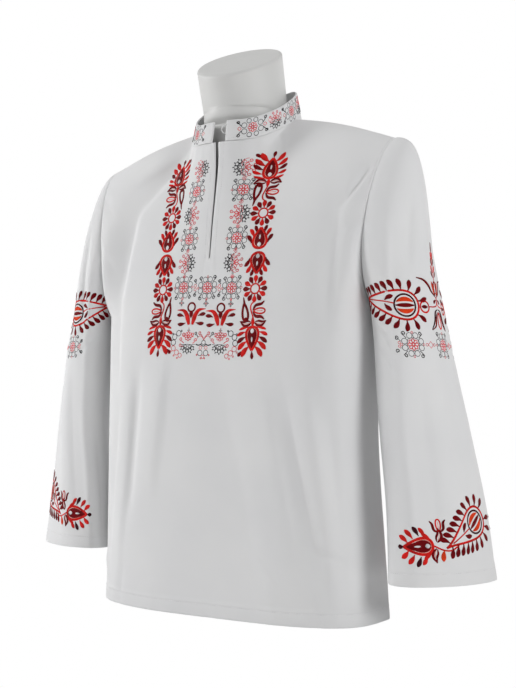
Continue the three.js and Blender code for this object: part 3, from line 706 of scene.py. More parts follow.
def sleeve_head(sleeve, side, angle, shares):
    """The sleeve from the armhole seam (share 0) to its first section (share 1)."""
    turns = np.degrees(angle)
    front = turns <= 180
    seam_share = np.where(front, 1 - turns / 180, (turns - 180) / 180)
    facing = np.where(front, -1.0, 1.0)
    start = np.zeros((len(angle), 3))
    normal = np.zeros((len(angle), 3))
    armpit = unit(np.array([[-0.3 * side, 0, -0.95]]))
    for j, (face, share) in enumerate(zip(facing, seam_share)):
        start[j] = yoke_points(face, np.array([float(side)]), [share])[0, 0]
        normal[j] = armhole_normals(np.array([float(side)]), face, [share], armpit)[0, 0]
    low = 1 - smooth(seam_share / ARMPIT_SHARE)
    start[:, 0] += side * (WALL + 0.4) * low
    rows = sleeve["rows"]
    head = {
        axis: around({name: sleeve["head"][name][index] for name in sleeve["head"]}, angle)
        for index, axis in enumerate("xyz")
    }
    out = np.stack([side * head["x"], np.where(np.sin(angle) > 0, -1, 1) * head["y"], head["z"]], -1)
    first = rows[0]["z"]
    below, end = sleeve_sections(rows, side, [first - 20, first], angle)
    up = end + (end - below) * around(sleeve["lift"], angle)[:, None] / 20
    up[:, 0] -= side * around(sleeve["lean"], angle)
    t = np.asarray(shares, float)[:, None, None]
    return bezier(start[None], (start + out)[None], up[None], end[None], t), normal


def make_sleeve(side):
    sleeve = LEFT_SLEEVE if side > 0 else RIGHT_SLEEVE
    count = 112
    angle = np.arange(count) / count * 2 * math.pi
    if side < 0:
        angle = angle[::-1]
    shares = np.concatenate([[0, 0.004, 0.008, 0.014, 0.022], np.linspace(0.034, 1, 62)])
    head, seam_normal = sleeve_head(sleeve, side, angle, shares)
    first = sleeve["rows"][0]["z"]
    last = sleeve["rows"][-1]["z"]
    stitch = last + HEM["height"]
    fine = [stitch + 1.2, stitch, stitch - 1.2, stitch - 2.4, last + 12, last + 7]
    heights = np.concatenate([np.arange(first - 4.5, stitch + 3, -4.5), fine])
    heights = np.concatenate([heights, [last + 3, last + 1.2, last + 0.5, last]])
    grid = np.concatenate([head, sleeve_sections(sleeve["rows"], side, heights, angle)])
    run = unit(grid[1] - grid[0])
    grid[0] -= run * SEAM_OVERLAP
    gap = lengths_along(grid, 0)
    folds = sleeve_fold_height(SLEEVE_FOLDS["left" if side > 0 else "right"], np.degrees(angle), grid[..., 2])
    grid = grid + grid_normals(grid, True) * (folds * smooth(gap / 60))[..., None]
    normals = grid_normals(grid, True)
    normals = unit(mix(normals, seam_normal[None], bell(gap, 9.0)[..., None]))
    groove = SEAM_GROOVE["depth"] * bell(gap, SEAM_GROOVE["width"])
    relief = hem_relief(grid[..., 2] - last) - groove
    outer = grid + normals * (WALL + relief)[..., None]
    inner = grid + normals * (WALL - CLOTH - groove * 0.3)[..., None]
    uv = np.stack([lengths_along(outer, 1), lengths_along(outer, 0)], -1)
    piece = make_shell("sleeve_left_cloth" if side > 0 else "sleeve_right_cloth", outer, inner, True, uv)
    return piece, outer


# ---- Collar and loop --------------------------------------------------------------------------
def collar_place(degrees, rise, offset):
    """A point of the collar: rise 0 is its foot and 1 its top edge, offset is outwards."""
    angle = np.radians(degrees)
    point = neckline(degrees)
    inward = COLLAR["lean"] * rise - offset
    point[..., 0] -= np.sin(angle) * inward
    point[..., 1] += np.cos(angle) * inward
    point[..., 2] += COLLAR["foot"] + COLLAR["height"] * rise
    return point


def collar_section():
    """Rise and offset round the band's section, with a rounded fold along its top."""
    half = COLLAR_WALL / 2
    turn = np.linspace(0, math.pi, 9)
    outside = np.concatenate([[-0.045, -0.02, 0.02, 0.05], np.linspace(0.1, 0.9, 12), [0.94]])
    round_rise = 1 - half / COLLAR["height"]
    rise = np.concatenate([outside, round_rise + np.sin(turn) * half / COLLAR["height"], outside[::-1]])
    offset = np.concatenate([0 * outside + COLLAR_WALL, half + np.cos(turn) * half, 0 * outside])
    pinch = 0.5 * (bell(rise * COLLAR["height"], 1.2))
    offset = offset + np.where(offset > half, -pinch, pinch)
    return rise, offset


def make_collar():
    rise, offset = collar_section()
    degrees = np.linspace(-360 + COLLAR["left_end"], -COLLAR["right_end"], 190)
    grid = np.stack([collar_place(degrees, r, o) for r, o in zip(rise, offset)], 0)
    rows, columns = grid.shape[:2]
    points = grid.reshape(-1, 3)
    faces = []
    for i in range(rows):
        for j in range(columns - 1):
            a = i * columns + j
            b = a + 1
            c = ((i + 1) % rows) * columns + j + 1
            d = c - 1
            faces.append((a, b, c, d))
    faces.append([i * columns for i in range(rows)])
    faces.append([i * columns + columns - 1 for i in range(rows)][::-1])
    along = lengths_along(grid, 1)
    around_band = lengths_along(grid, 0)
    uv = np.stack([along, around_band], -1).reshape(-1, 2)
    return make_mesh("collar_cloth", points, faces, uv)


def tube(path, radius, sides):
    """Points and faces of a tube along a path; radius is one number or one for each point."""
    path = np.asarray(path, float)
    radius = np.broadcast_to(np.asarray(radius, float), (len(path),))
    run = unit(np.gradient(path, axis=0))
    up = np.array([0.0, 0.0, 1.0])
    if abs(run[0] @ up) > 0.9:
        up = np.array([1.0, 0.0, 0.0])
    side = unit(np.cross(run, up))
    over = np.cross(side, run)
    turn = np.arange(sides) / sides * 2 * math.pi
    spokes = side[:, None] * np.cos(turn)[None, :, None] + over[:, None] * np.sin(turn)[None, :, None]
    points = (path[:, None] + spokes * radius[:, None, None]).reshape(-1, 3)
    faces = []
    for i in range(len(path) - 1):
        for j in range(sides):
            k = (j + 1) % sides
            faces.append((i * sides + j, (i + 1) * sides + j, (i + 1) * sides + k, i * sides + k))
    faces.append(list(range(sides)))
    faces.append([(len(path) - 1) * sides + j for j in range(sides)][::-1])
    return points, faces


def make_loop():
    """The worked thread loop on the collar's left end."""
    degrees = -360 + COLLAR["left_end"]
    middle = collar_place(np.array([float(degrees)]), LOOP["height"], COLLAR_WALL / 2)[0]
    angle = math.radians(degrees)
    away = np.array([-math.cos(angle), -math.sin(angle), 0.0])
    turn = np.radians(np.linspace(-90, 90, 61))
    path = middle + away * (LOOP["reach"] * np.cos(turn))[:, None]
    path = path + away * 0.2
    path[:, 2] += LOOP["half"] * np.sin(turn)
    points, faces = tube(path, LOOP["thread"] * (1 + 0.1 * np.cos(np.arange(61) * 2.1)), 10)
    return make_mesh("button_loop", points, faces)


# ---- Dress form -------------------------------------------------------------------------------
def form_ring(row, middle_y, z, turn):
    """A ring of the form from a row's half width, its depths and its power."""
    half = row["half"]
    power = row["power"]
    depth = np.where(np.sin(turn) < 0, row["front"], row["back"])
    angle = np.arctan2(depth * np.sin(turn), half * np.cos(turn))
    torso = (np.abs(np.cos(angle) / half) ** power + np.abs(np.sin(angle) / depth) ** power) ** (-1 / power)
    radius = (torso**FORM_BLEND + NECK_BLOCK["radius"] ** FORM_BLEND) ** (1 / FORM_BLEND)
    return np.stack([radius * np.cos(angle), middle_y + radius * np.sin(angle), z + 0 * turn], -1)


def neck_ring(foot_z, share, inset, drop, turn):
    middle_y = mix(NECK_BLOCK["foot_y"], NECK_BLOCK["top_y"], share)
    radius = NECK_BLOCK["radius"] - inset
    x = radius * np.cos(turn)
    y = radius * np.sin(turn)
    cap = NECK_BLOCK["top_z"] + NECK_BLOCK["tilt"] * x + NECK_BLOCK["rise"] * y - drop
    return np.stack([x, middle_y + y, mix(foot_z, cap, share)], -1)


def form_crest(x):
    """The shoulder seam's place at a distance from the middle."""
    seam = neckline(np.array([SEAM_ANGLE]))[0]
    share = (x - seam[0]) / (SHOULDER[0] - seam[0])
    height = mix(seam[2], SHOULDER[2], share) + SHOULDER_CROWN * math.sin(np.clip(share, 0, 1) * math.pi)
    return mix(seam[1], SHOULDER[1], share), height


def make_form():
    levels = [{**row, "power": FORM_POWER["body"], "middle_y": 0.0} for row in FORM_ROWS]
    for row in FORM_TOP:
        y, z = form_crest(row["x"])
        levels.append({
            "z": z - row["gap"], "half": row["x"], "front": row["front"], "back": row["back"],
            "power": FORM_POWER["top"], "middle_y": y,
        })
    turn = np.arange(144) / 144 * 2 * math.pi
    last = levels[-1]["z"]
    rings = []
    for z in np.concatenate([[0, 2, 4], np.linspace(6, 640, 60), np.linspace(648, last, 30)]):
        row = {name: float(value) for name, value in read_table(levels, "z", z).items()}
        rings.append(form_ring(row, row["middle_y"], z, turn))
    top = levels[-1]
    for row in NECK_FOOT:
        middle_y = mix(top["middle_y"], NECK_BLOCK["foot_y"], smooth(row["rise"] / 12))
        rings.append(form_ring({**top, "half": row["half"]}, middle_y, last + row["rise"], turn))
    foot = last + NECK_FOOT[-1]["rise"]
    corner = NECK_BLOCK["round"]
    for share in np.linspace(0.06, 1, 18):
        rings.append(neck_ring(foot, share, 0, corner, turn))
    for bend in np.linspace(0, 90, 9)[1:]:
        inset = corner * (1 - math.cos(math.radians(bend)))
        drop = corner * (1 - math.sin(math.radians(bend)))
        rings.append(neck_ring(foot, 1, inset, drop, turn))
    for inset in (9, 20, 34, 48, 60):
        rings.append(neck_ring(foot, 1, inset, 0, turn))
    grid = np.array(rings)
    count = len(turn)
    faces = grid_faces(len(rings), count, True)
    faces.append(list(range(count))[::-1])
    faces.append([(len(rings) - 1) * count + j for j in range(count)])
    return make_mesh("form_shell", grid.reshape(-1, 3), faces)


# ---- Cloth surfaces that carry embroidery -----------------------------------------------------
class Surface:
    """Points and outward directions of a cloth, by place: u runs across and v up, by length."""

    def __init__(self, points, u_low, v_low, step):
        self.points = points
        self.low = np.array([u_low, v_low])
        self.step = step
        normals = np.cross(np.gradient(points, axis=1), np.gradient(points, axis=0))
        self.normals = unit(normals)
        self.hand = 1  # -1 where u, v and the outward direction are left-handed

    def place(self, uv):
        """(points, normals) at places: an array of u, v pairs."""
        rows, columns = self.points.shape[:2]
        cell = (np.asarray(uv, float) - self.low) / self.step
        j = np.clip(np.floor(cell[:, 0]).astype(int), 0, columns - 2)
        i = np.clip(np.floor(cell[:, 1]).astype(int), 0, rows - 2)
        a = np.clip(cell[:, 0] - j, 0, 1)[:, None]
        b = np.clip(cell[:, 1] - i, 0, 1)[:, None]

        def read(field):
            low = mix(field[i, j], field[i, j + 1], a)
            high = mix(field[i + 1, j], field[i + 1, j + 1], a)
            return mix(low, high, b)

        return read(self.points), unit(read(self.normals))


def tree_of(outer, wrap):
    """A search tree of a cloth's outer side."""
    faces = grid_faces(*outer.shape[:2], wrap)
    return BVHTree.FromPolygons([tuple(p) for p in outer.reshape(-1, 3).tolist()], faces)


def fill_gaps(field):
    """Fills what no ray met in each row from its neighbours in that row."""
    for row in field:
        for axis in range(3):
            known = ~np.isnan(row[:, axis])
            if known.any():
                row[:, axis] = np.interp(np.arange(len(row)), np.flatnonzero(known), row[known, axis])
    return field


def cast(tree, start, direction, reach):
    hit = tree.ray_cast(Vector(start), Vector(direction), reach)[0]
    return tuple(hit) if hit is not None else (math.nan,) * 3


def front_surface(outer):
    """The front by elevation: u is x, and v is the length up the cloth from FRONT_MIDDLE_Z."""
    tree = tree_of(outer, False)
    step = 2.0
    across = np.arange(-140, 140 + step, step)
    heights = np.arange(340, 716, step)
    field = np.array([[cast(tree, (x, -400, z), (0, 1, 0), 390) for x in across] for z in heights])
    field = fill_gaps(field)
    columns = [int(np.argmin(np.abs(across - side * STRIP_X))) for side in (-1, 1)]
    walked = sum(lengths_along(field[:, column], 0) for column in columns) / len(columns)
    walked = walked - np.interp(FRONT_MIDDLE_Z, heights, walked)
    levels = np.arange(math.ceil(walked[0]), walked[-1], step)
    rows = np.interp(levels, walked, np.arange(len(heights)))
    low = np.clip(rows.astype(int), 0, len(heights) - 2)
    field = mix(field[low], field[low + 1], (rows - low)[:, None, None])
    return Surface(field, across[0], levels[0], step)


def sleeve_surface(outer, side):
    """A sleeve by level: v is z, and u the length round from its outer middle to the front."""
    tree = tree_of(outer, True)
    sleeve = LEFT_SLEEVE if side > 0 else RIGHT_SLEEVE
    step = 2.0
    places = np.arange(-212, 132, step)
    levels = np.arange(84, 560, step)
    turns = np.radians(np.arange(-180, 181, 2.0))
    rows = []
    for z in levels:
        row = {name: float(value) for name, value in read_table(sleeve["rows"], "z", z).items()}
        start = (side * row["x"], row["y"], z)
        middle = math.radians(SLEEVE_MIDDLE["left" if side > 0 else "right"])
        rays = [(side * math.cos(turn + middle), -math.sin(turn + middle), 0) for turn in turns]
        hits = np.array([cast(tree, start, ray, 200) for ray in rays])
        hits = fill_gaps(hits[None])[0]
        walked = lengths_along(hits, 0)
        walked = walked - np.interp(0, turns, walked)
        rows.append(np.stack([np.interp(places, walked, hits[:, axis]) for axis in range(3)], -1))
    field = np.array(rows)
    surface = Surface(field, places[0], levels[0], step)
    surface.normals *= -side
    surface.hand = -side
    return surface


def collar_surface():
    """The collar's outside: u is the length round the band from the back's middle to the left
    end, and v the height above the band's foot."""
    step = 1.5
    degrees = np.linspace(-360 + COLLAR["left_end"], -COLLAR["right_end"], 400)
    levels = np.arange(0, COLLAR["height"], step)
    rows = []
    middle = collar_place(degrees, 0.5, COLLAR_WALL)
    walked = lengths_along(middle, 0)
    places = np.arange(0, walked[-1], step)
    angle = np.interp(places, walked, degrees)
    for level in levels:
        rows.append(collar_place(angle, level / COLLAR["height"], COLLAR_WALL))
    return Surface(np.array(rows), places[0], levels[0], step)


# ---- Strokes of thread ------------------------------------------------------------------------
# A motif is a list of strokes in millimetres, x to the right and y up, drawn round its own origin.
LINE = {"width": 1.15, "height": 0.45}
SATIN_HEIGHT = 0.75
SATIN_SPREAD = 1.42  # satin lies wider than its drawn line
LINE_SPREAD = 1.25
SINK = 0.3  # how far a stroke's sides reach into the cloth
SECTION = np.array([[-0.5, 0.0], [-0.4, 0.62], [0.0, 1.0], [0.4, 0.62], [0.5, 0.0]])


def stroke(colour, points, width, height):
    points = np.asarray(points, float)
    width = np.broadcast_to(np.asarray(width, float), (len(points),)) * LINE_SPREAD
    return {"colour": colour, "points": points, "width": width, "height": height}


def flow(points, count):
    """A smooth path through a few points."""
    points = np.asarray(points, float)
    places = np.linspace(0, len(points) - 1, count)
    i = np.clip(places.astype(int), 0, len(points) - 2)
    t = (places - i)[:, None]
    slope = np.gradient(points, axis=0)
    start = (2 * t**3 - 3 * t**2 + 1) * points[i] + (t**3 - 2 * t**2 + t) * slope[i]
    end = (3 * t**2 - 2 * t**3) * points[i + 1] + (t**3 - t**2) * slope[i + 1]
    return start + end


def line(colour, points, width=LINE["width"], count=12):
    return stroke(colour, flow(points, count), width, LINE["height"] * (1 + 0.12 * width))


def tapered(colour, points, width, count=12):
    """A line that thins towards both its ends."""
    t = np.linspace(0, 1, count)
    return stroke(colour, flow(points, count), width * (0.35 + 0.65 * np.sin(math.pi * t)), SATIN_HEIGHT)


def petal(colour, base, tip, width, bend=0.0, fullest=0.64, count=10, height=SATIN_HEIGHT):
    """A filled satin petal. bend moves its middle to the left of its run, as a share of it."""
    t = np.linspace(0, 1, count)
    base = np.asarray(base, float)
    run = np.asarray(tip, float) - base
    left = np.array([-run[1], run[0]])
    points = base + run * t[:, None] + left * (4 * bend * t * (1 - t))[:, None]
    skew = t ** (math.log(0.5) / math.log(fullest))
    shape = np.sin(math.pi * np.clip(skew, 0.03, 0.97)) ** 0.58
    return stroke(colour, points, np.maximum(SATIN_SPREAD / LINE_SPREAD * width * shape, 0.5), height)


def direction(degrees):
    return np.array([math.cos(math.radians(degrees)), math.sin(math.radians(degrees))])


def ring(colour, centre, radius, width=LINE["width"], count=15):
    turn = np.linspace(0, 2 * math.pi, count)
    points = np.asarray(centre, float) + radius * np.stack([np.cos(turn), np.sin(turn)], -1)
    return stroke(colour, points, width, LINE["height"] * (1 + 0.12 * width))


def drop_line(colour, base, tip, half, width, pinch=0.8, count=30):
    """The outline of a drop, round at its base and pointed at its tip."""
    turn = np.linspace(0, 2 * math.pi, count)
    out = np.sin(turn) * np.abs(np.sin(turn / 2)) ** pinch
    base = np.asarray(base, float)
    run = np.asarray(tip, float) - base
    left = np.array([-run[1], run[0]]) / np.hypot(*run)
    points = base + run * ((1 + np.cos(turn)) / 2)[:, None] + left * (half * out / out.max())[:, None]
    return stroke(colour, points, width, LINE["height"] * (1 + 0.12 * width))


def drop_fill(colour, base, tip, half, pinch=1.6, count=16, height=SATIN_HEIGHT):
    """A filled drop, round at its base and pointed at its tip."""
    t = np.linspace(0.015, 0.985, count)
    shape = t**0.5 * (1 - t) ** (0.5 + 0.5 * pinch)
    base = np.asarray(base, float)
    points = base + (np.asarray(tip, float) - base) * t[:, None]
    return stroke(colour, points, np.maximum(2 / LINE_SPREAD * half * shape / shape.max(), 0.5), height)


def scroll(colour, centre, start, foot, radius=2.5):
    """A thread that runs from its foot into a small curl; start is where the curl begins."""
    turn = np.radians(start + np.linspace(0, 400, 15))
    size = radius * np.linspace(1, 0.3, 15)
    curl = np.asarray(centre, float) + size[:, None] * np.stack([np.cos(turn), np.sin(turn)], -1)
    return stroke(colour, np.concatenate([[foot], curl]), LINE["width"], LINE["height"])


def put(strokes, x=0.0, y=0.0, turn=0.0, size=1.0, flip=False, upside=False):
    """The same strokes at another place: mirrored first, then sized, turned and moved."""
    angle = math.radians(turn)
    spin = np.array([[math.cos(angle), math.sin(angle)], [-math.sin(angle), math.cos(angle)]])
    mirror = np.array([-1.0 if flip else 1.0, -1.0 if upside else 1.0])
    moved = []
    for one in strokes:
        points = (one["points"] * mirror * size) @ spin + (x, y)
        width = np.maximum(one["width"] * size, 0.5)
        moved.append({**one, "points": points, "width": width})
    return moved


def both_sides(strokes):
    return strokes + put(strokes, flip=True)


# ---- Satin motifs -----------------------------------------------------------------------------
def daisy():
    strokes = [ring("red", (0, 0), 7.3, 2.1, 21)]
    for i in range(12):
        away = direction(90 - 30 * i)
        strokes.append(petal("maroon" if i % 2 else "red", away * 8.7, away * 20, 5.7))
    return strokes


def palmette_heart(length, half):
    """The pointed heart of a palmette, with its base at the origin and its tip above it."""
    eye = 0.22 * length
    return [
        drop_line("red", (0, 1.6), (0, length), half - 1.4, 3.4, 1.1),
        drop_line("pale", (0, 3.7), (0, length - 4), half - 3.7, 0.6, 1.1),
        drop_fill("maroon", (0, 3.8), (0, length - 2.4), half - 3.3, 1.1),
        drop_fill("white", (0, 0.44 * length), (0, 0.7 * length), 1.6, 0.6, 10, 1.25),
        ring("red", (0, eye), 4.3, 0.9, 15),
        petal("white", (0, eye - 3.4), (0, eye + 3.4), 5.0, fullest=0.5, height=1.35),
    ]


def middle_palmette():
    petals = [
        petal("maroon", (6.6, 25), (9.8, 36), 4.4, 0.08),
        petal("red", (10.6, 18.5), (17.2, 31), 4.9, 0.1),
        petal("maroon", (13.4, 9.5), (20.8, 21.5), 5.0, 0.1),
    ]
    return palmette_heart(33, 12.6) + both_sides(petals)


def top_palmette():
    petals = [
        petal("red", (5, 2.2), (22.5, 6.0), 3.2, -0.06),
        petal("red", (11, 9.2), (25, 14.4), 4.2, -0.06),
        petal("maroon", (10.6, 16.2), (24.4, 24.8), 5.0, -0.06),
        petal("red", (8.4, 22.6), (22.6, 34.6), 5.8, -0.07),
        petal("red", (4.4, 30), (16.4, 45), 6.4, -0.1),
    ]
    centre = [petal("maroon", (0.4, 37), (1, 48.5), 4.2), petal("maroon", (-17.5, 37), (-23, 44), 4.4)]
    return palmette_heart(36, 11.6) + both_sides(petals) + centre


def leaf():
    """An S-shaped outlined leaf that runs to the right from its foot."""
    return [
        tapered("maroon", [(0, 0), (5, 3.8), (12, 3.8), (18.5, -2.8)], 3.7),
        tapered("maroon", [(0.5, -1.0), (6, -2.6), (12, -1.4), (18, -2.6)], 3.0),
        line("pale", [(2.5, 0.4), (7, 1.2), (13, 0.8)], 0.8, 6),
    ]


def tulip():
    """A tulip that opens to the right: two maroon petals round a red outlined one."""
    return [
        tapered("maroon", [(0, 0.8), (5, 7.5), (14, 8.6), (19, 12.5)], 4.2),
        tapered("maroon", [(0, -0.8), (4, -8), (13, -10), (18, -14)], 4.2),
        drop_line("red", (20, 0), (1, 0), 4.0, 2.2, 0.5, 20),
        line("pale", [(6, 0), (16, 0)], 1.0, 5),
    ]


def strip_half():
    """Half of an outer strip, from its mirror plane up; x grows away from the slit."""
    stem = [(0, 75.5), (-4.5, 80), (-5, 86), (-2.5, 93), (0, 100), (0, 109)]
    drop = [
        drop_line("maroon", (-12.0, 103.5), (-16.4, 78), 4.7, 3.3, 0.9),
        petal("maroon", (-11.6, 104.6), (-12.4, 98.6), 6.0, 0, 0.45, 8),
        tapered("maroon", [(-15.9, 82), (-16.6, 76), (-18.4, 69)], 2.8, 8),
    ]
    return (
        put(middle_palmette(), 0, 1.6)
        + put(daisy(), 0, 57)
        + [line("red", stem, 1.9, 20), petal("red", (-0.5, 96), (0, 111), 4.5)]
        + drop
        + put(tulip(), -1, 89.5)
        + put(leaf(), 3, 106.5)
        + put(leaf(), -3, 106.5, flip=True)
        + put(top_palmette(), 0, 110.5)
    )


def strip():
    half = strip_half()
    return half + put(half, upside=True)


def ring_tulip():
    """A ring over an open pair of petals that curl out, with small drops at the sides."""
    curl = [(3.0, -26), (5.2, -18.5), (8.4, -10.5), (14.6, -4.4), (26, -3.4)]
    arm = tapered("red", curl, 6.4, 18)
    arm["width"] = LINE_SPREAD * np.interp(np.linspace(0, 1, 18), [0, 0.3, 0.62, 1], [3.6, 7.0, 5.8, 0.7])
    side = [
        arm,
        petal("maroon", (13.0, -13.2), (26.0, -10.8), 4.4, 0.06),
        petal("maroon", (9.6, -23.2), (23.8, -24.4), 4.4, -0.08),
        line("pale", [(1.5, -24), (2.6, -17), (3.2, -12)], 0.8, 6),
    ]
    return [
        ring("maroon", (0, 0), 6.5, 2.5, 21),
        drop_fill("maroon", (0, -5.4), (0, -16.4), 3.9, 0.8, 10),
    ] + both_sides(side)


# ---- Counted lattice motifs -------------------------------------------------------------------
THIN = 0.8  # width of the counted motifs' lines


def lattice_flower():
    """The coral flower in a rosette's middle, of eight open petals."""
    strokes = [ring("coral", (0, 0), 1.7, THIN, 8)]
    for i in range(8):
        away = direction(45 * i)
        strokes.append(drop_line("coral", away * 7.9, away * 2.0, 1.9, 1.25, 0.4, 10))
    return strokes


def curl_pair(x, y, start, foot_x, foot_y, radius=2.9):
    """The same black curl above and below the middle line."""
    strokes = []
    for up in (-1, 1):
        strokes.append(scroll("black", (x, y * up), start * up, (foot_x, foot_y * up), radius))
    return strokes


def rosette():
    """Eight circles in pairs round a coral flower, with a curl at each corner."""
    strokes = lattice_flower()
    for quarter in range(4):
        for lean in (-20, 20):
            strokes.append(ring("black", direction(90 * quarter + lean) * 13.1, 3.95, THIN, 13))
        strokes.append(ring("coral", direction(90 * quarter) * 16.6, 1.5, THIN, 7))
    star = [direction(45 * i) * (10.4 if i % 2 else 9.2) for i in range(9)]
    strokes.append(stroke("black", star, THIN, LINE["height"]))
    for side in (-1, 1):
        strokes += curl_pair(12.2 * side, 15.4, 90 - 100 * side, 9.2 * side, 8.6)
    return strokes


def lattice_tie():
    """Small coral diamonds that join two rosettes."""
    diamond = [(-3.6, 0), (0, 3.6), (3.6, 0), (0, -3.6), (-3.6, 0)]
    return [
        stroke("coral", diamond, THIN, LINE["height"]),
        line("coral", [(-1.9, -1.9), (1.9, 1.9)], THIN, 3),
        line("coral", [(-1.9, 1.9), (1.9, -1.9)], THIN, 3),
        ring("black", (0, 5.0), 1.5, THIN, 7),
    ]


def lace_fan():
    """The black lace half disc that faces left, open where threads cross."""
    strokes = [stroke("black", [direction(98 + 16.4 * i) * 8.6 for i in range(11)], THIN, LINE["height"])]
    for degrees in (124, 152, 180, 208, 236):
        away = direction(degrees)
        strokes.append(ring("black", away * 11.6, 2.5, THIN, 10))
        strokes.append(petal("black", away * 14.0, away * 16.6, 1.5, 0, 0.6, 5))
    for degrees in (134, 180, 226):
        away = direction(degrees)
        strokes.append(ring("black", away * 5.4, 2.2, THIN, 9))
        strokes.append(line("black", [away * 7.4, away * 9.6], 1.2, 3))
    for degrees in (110, 138, 166, 194, 222, 250):
        strokes.append(line("black", [direction(degrees) * 8.6, direction(degrees) * 14.4], 1.0, 3))
    for degrees in (100, 157, 203, 260):
        away = direction(degrees)
        strokes.append(line("black", [away * 3.0, away * 8.6], THIN, 3))
    strokes.append(line("black", [(-0.4, 14.2), (-1.4, 7), (-0.4, 0), (-1.4, -7), (-0.4, -14.2)], THIN, 14))
    return strokes


def half_rosette():
    """A black lace fan that faces left, with coral curls and open petals on its right."""
    strokes = lace_fan()
    for lean in (-52, -18, 18, 52):
        away = direction(lean)
        strokes.append(drop_line("coral", away * 9.2, away * 1.6, 2.2, 1.0, 0.4, 12))
    for up in (-1, 1):
        strokes.append(scroll("coral", (8.2, 11.8 * up), -150 * up, (2.4, 6.0 * up), 2.9))
        strokes.append(scroll("coral", (13.8, 4.6 * up), -160 * up, (7.6, 1.4 * up), 2.8))
        strokes.append(ring("coral", (0.6, 9.4 * up), 2.1, THIN, 9))
        strokes.append(line("coral", [(-0.6, 12 * up), (2.6, 14.6 * up), (5.8, 15.4 * up)], THIN, 6))
        strokes.append(line("coral", [(-2.4, 2.0 * up), (-3.6, 7.4 * up), (-1.6, 13 * up)], THIN, 6))
    return strokes


def small_cross():
    """Four small diamonds in a cross, under a coral one."""
    strokes = [ring("coral", (0, 0), 1.1, THIN, 6), ring("coral", (0, 5.6), 1.4, THIN, 6)]
    for degrees in (0, 90, 180, 270):
        away = direction(degrees)
        across = direction(degrees + 90)
        tips = [away * 1.4, away * 3.0 + across * 1.3, away * 4.6, away * 3.0 - across * 1.3, away * 1.4]
        strokes.append(stroke("black", tips, 1.0, LINE["height"]))
    return strokes


def lace_chain():
    """The chain of circles at the lace row's end, black above and coral below."""
    strokes = []
    for x, y in ((46.6, 14.0), (53.6, 8.6), (55.4, 0.0)):
        strokes.append(ring("black", (x, y), 4.2, THIN + 0.15, 14))
    for x, y, radius in ((54.6, -8.6, 3.9), (48.4, -14.6, 3.9), (41.8, -18.8, 3.2)):
        strokes.append(ring("coral", (x, y), radius, THIN + 0.1, 13))
    for x, y in ((41.6, 17.6), (57.2, 13.0)):
        strokes.append(ring("black", (x, y), 1.2, 1.0, 6))
    for x, y in ((59.2, -13.2), (53.2, -19.2), (46.6, -22.8)):
        strokes.append(ring("coral", (x, y), 1.2, 1.0, 6))
    return strokes


def lace_row():
    """Two black fans facing down under coral flowers, between chains of circles."""
    side = put(lace_fan(), 28.6, -1.8, turn=90, size=0.93) + lace_chain()
    side += put(lattice_flower(), 28.4, 9.6, size=0.86)
    side += put(small_cross(), 28.4, 18.2, size=0.6)
    for x, y, start, foot in (
        (41.4, 5.4, 250, (35.5, -0.5)), (36.8, 12.2, 300, (33.0, 8.0)), (20.2, 12.4, 240, (24.0, 8.0)),
        (7.6, 14.6, 220, (1.2, 7.0)), (14.6, 4.0, 300, (19.5, -1.0)), (41.8, -3.6, 200, (36.5, -6.0)),
    ):
        side.append(scroll("coral", (x, y), start, foot, 2.9))
    side += [scroll("black", (14.6, 14.2), 240, (10.6, 8.6), 2.6)]
    side += [ring("coral", (4.9, -7.2), 2.4, THIN, 9), ring("black", (5.2, -14.8), 4.1, THIN, 13)]
    side += [ring("coral", (10.6, -17.6), 1.2, 1.0, 6), ring("coral", (3.2, -22.6), 1.1, 1.0, 6)]
    side += [line("black", [(3.2, -1.6), (8.4, -3.4), (13.6, -2.2)], 1.5, 8)]
    side += [line("coral", [(0, 4), (3.6, 9), (8.2, 10.2), (12.0, 6.4)], THIN, 9)]
    centre = [
        ring("black", (0, 0.6), 3.3, THIN, 12),
        line("coral", [(0, 3.6), (0, 8.4)], THIN, 4),
        line("black", [(-3.6, -3.4), (0, -4.8), (3.6, -3.4)], 1.2, 6),
        ring("coral", (0, -20.4), 2.5, THIN, 9),
    ]
    return centre + both_sides(side)


# ---- Where the front's motifs go --------------------------------------------------------------
def front_strokes():
    strokes = put(strip(), 82, 25.0) + put(strip(), -85, 31.5, flip=True)
    lattice = ((1, 0.0, (47, 47.5, 45, 44.5, 43)), (-1, 4.0, (-28.5, -34, -39.5, -41, -43)))
    for side, level, columns in lattice:
        rows = ((157, "half", 0), (121, "rosette", 1), (83, "half", 2), (46, "rosette", 3), (9, "half", 4))
        for v, kind, column in rows:
            x = columns[column]
            if kind == "rosette":
                strokes += put(rosette(), x, v + level)
            else:
                inward = (column % 4 == 0) == (side > 0)
                shift = 1.5 if inward else -1.5
                strokes += put(half_rosette(), x - shift, v + level, flip=not inward)
            if column > 0:
                strokes += put(lattice_tie(), (x + columns[column - 1]) / 2, v + level + 18.4, size=0.9)
    for x, v in ((-44.7, -24), (-0.8, -26.5), (42.0, -29)):
        strokes += put(rosette(), x, v)
        strokes += put(small_cross(), x * 1.02 - 0.6, v - 23.6)
    for x, v in ((-22.8, -25.3), (20.6, -27.8)):
        for up in (-1, 1):
            strokes.append(ring("coral", (x, v + 2.7 * up), 2.3, THIN, 9))
            strokes.append(scroll("black", (x, v + 11 * up), 180 * up, (x + 2.4, v + 5.6 * up), 2.6))
    for x, v in ((-44.2, -7.4), (42.0, -11.6)):
        strokes += put(lattice_tie(), x, v, size=0.9)
    strokes += put(ring_tulip(), -27, -54.6) + put(ring_tulip(), 25.6, -57.8)
    strokes += put(lace_row(), -1.5, -108.5, turn=-2.0)
    return strokes


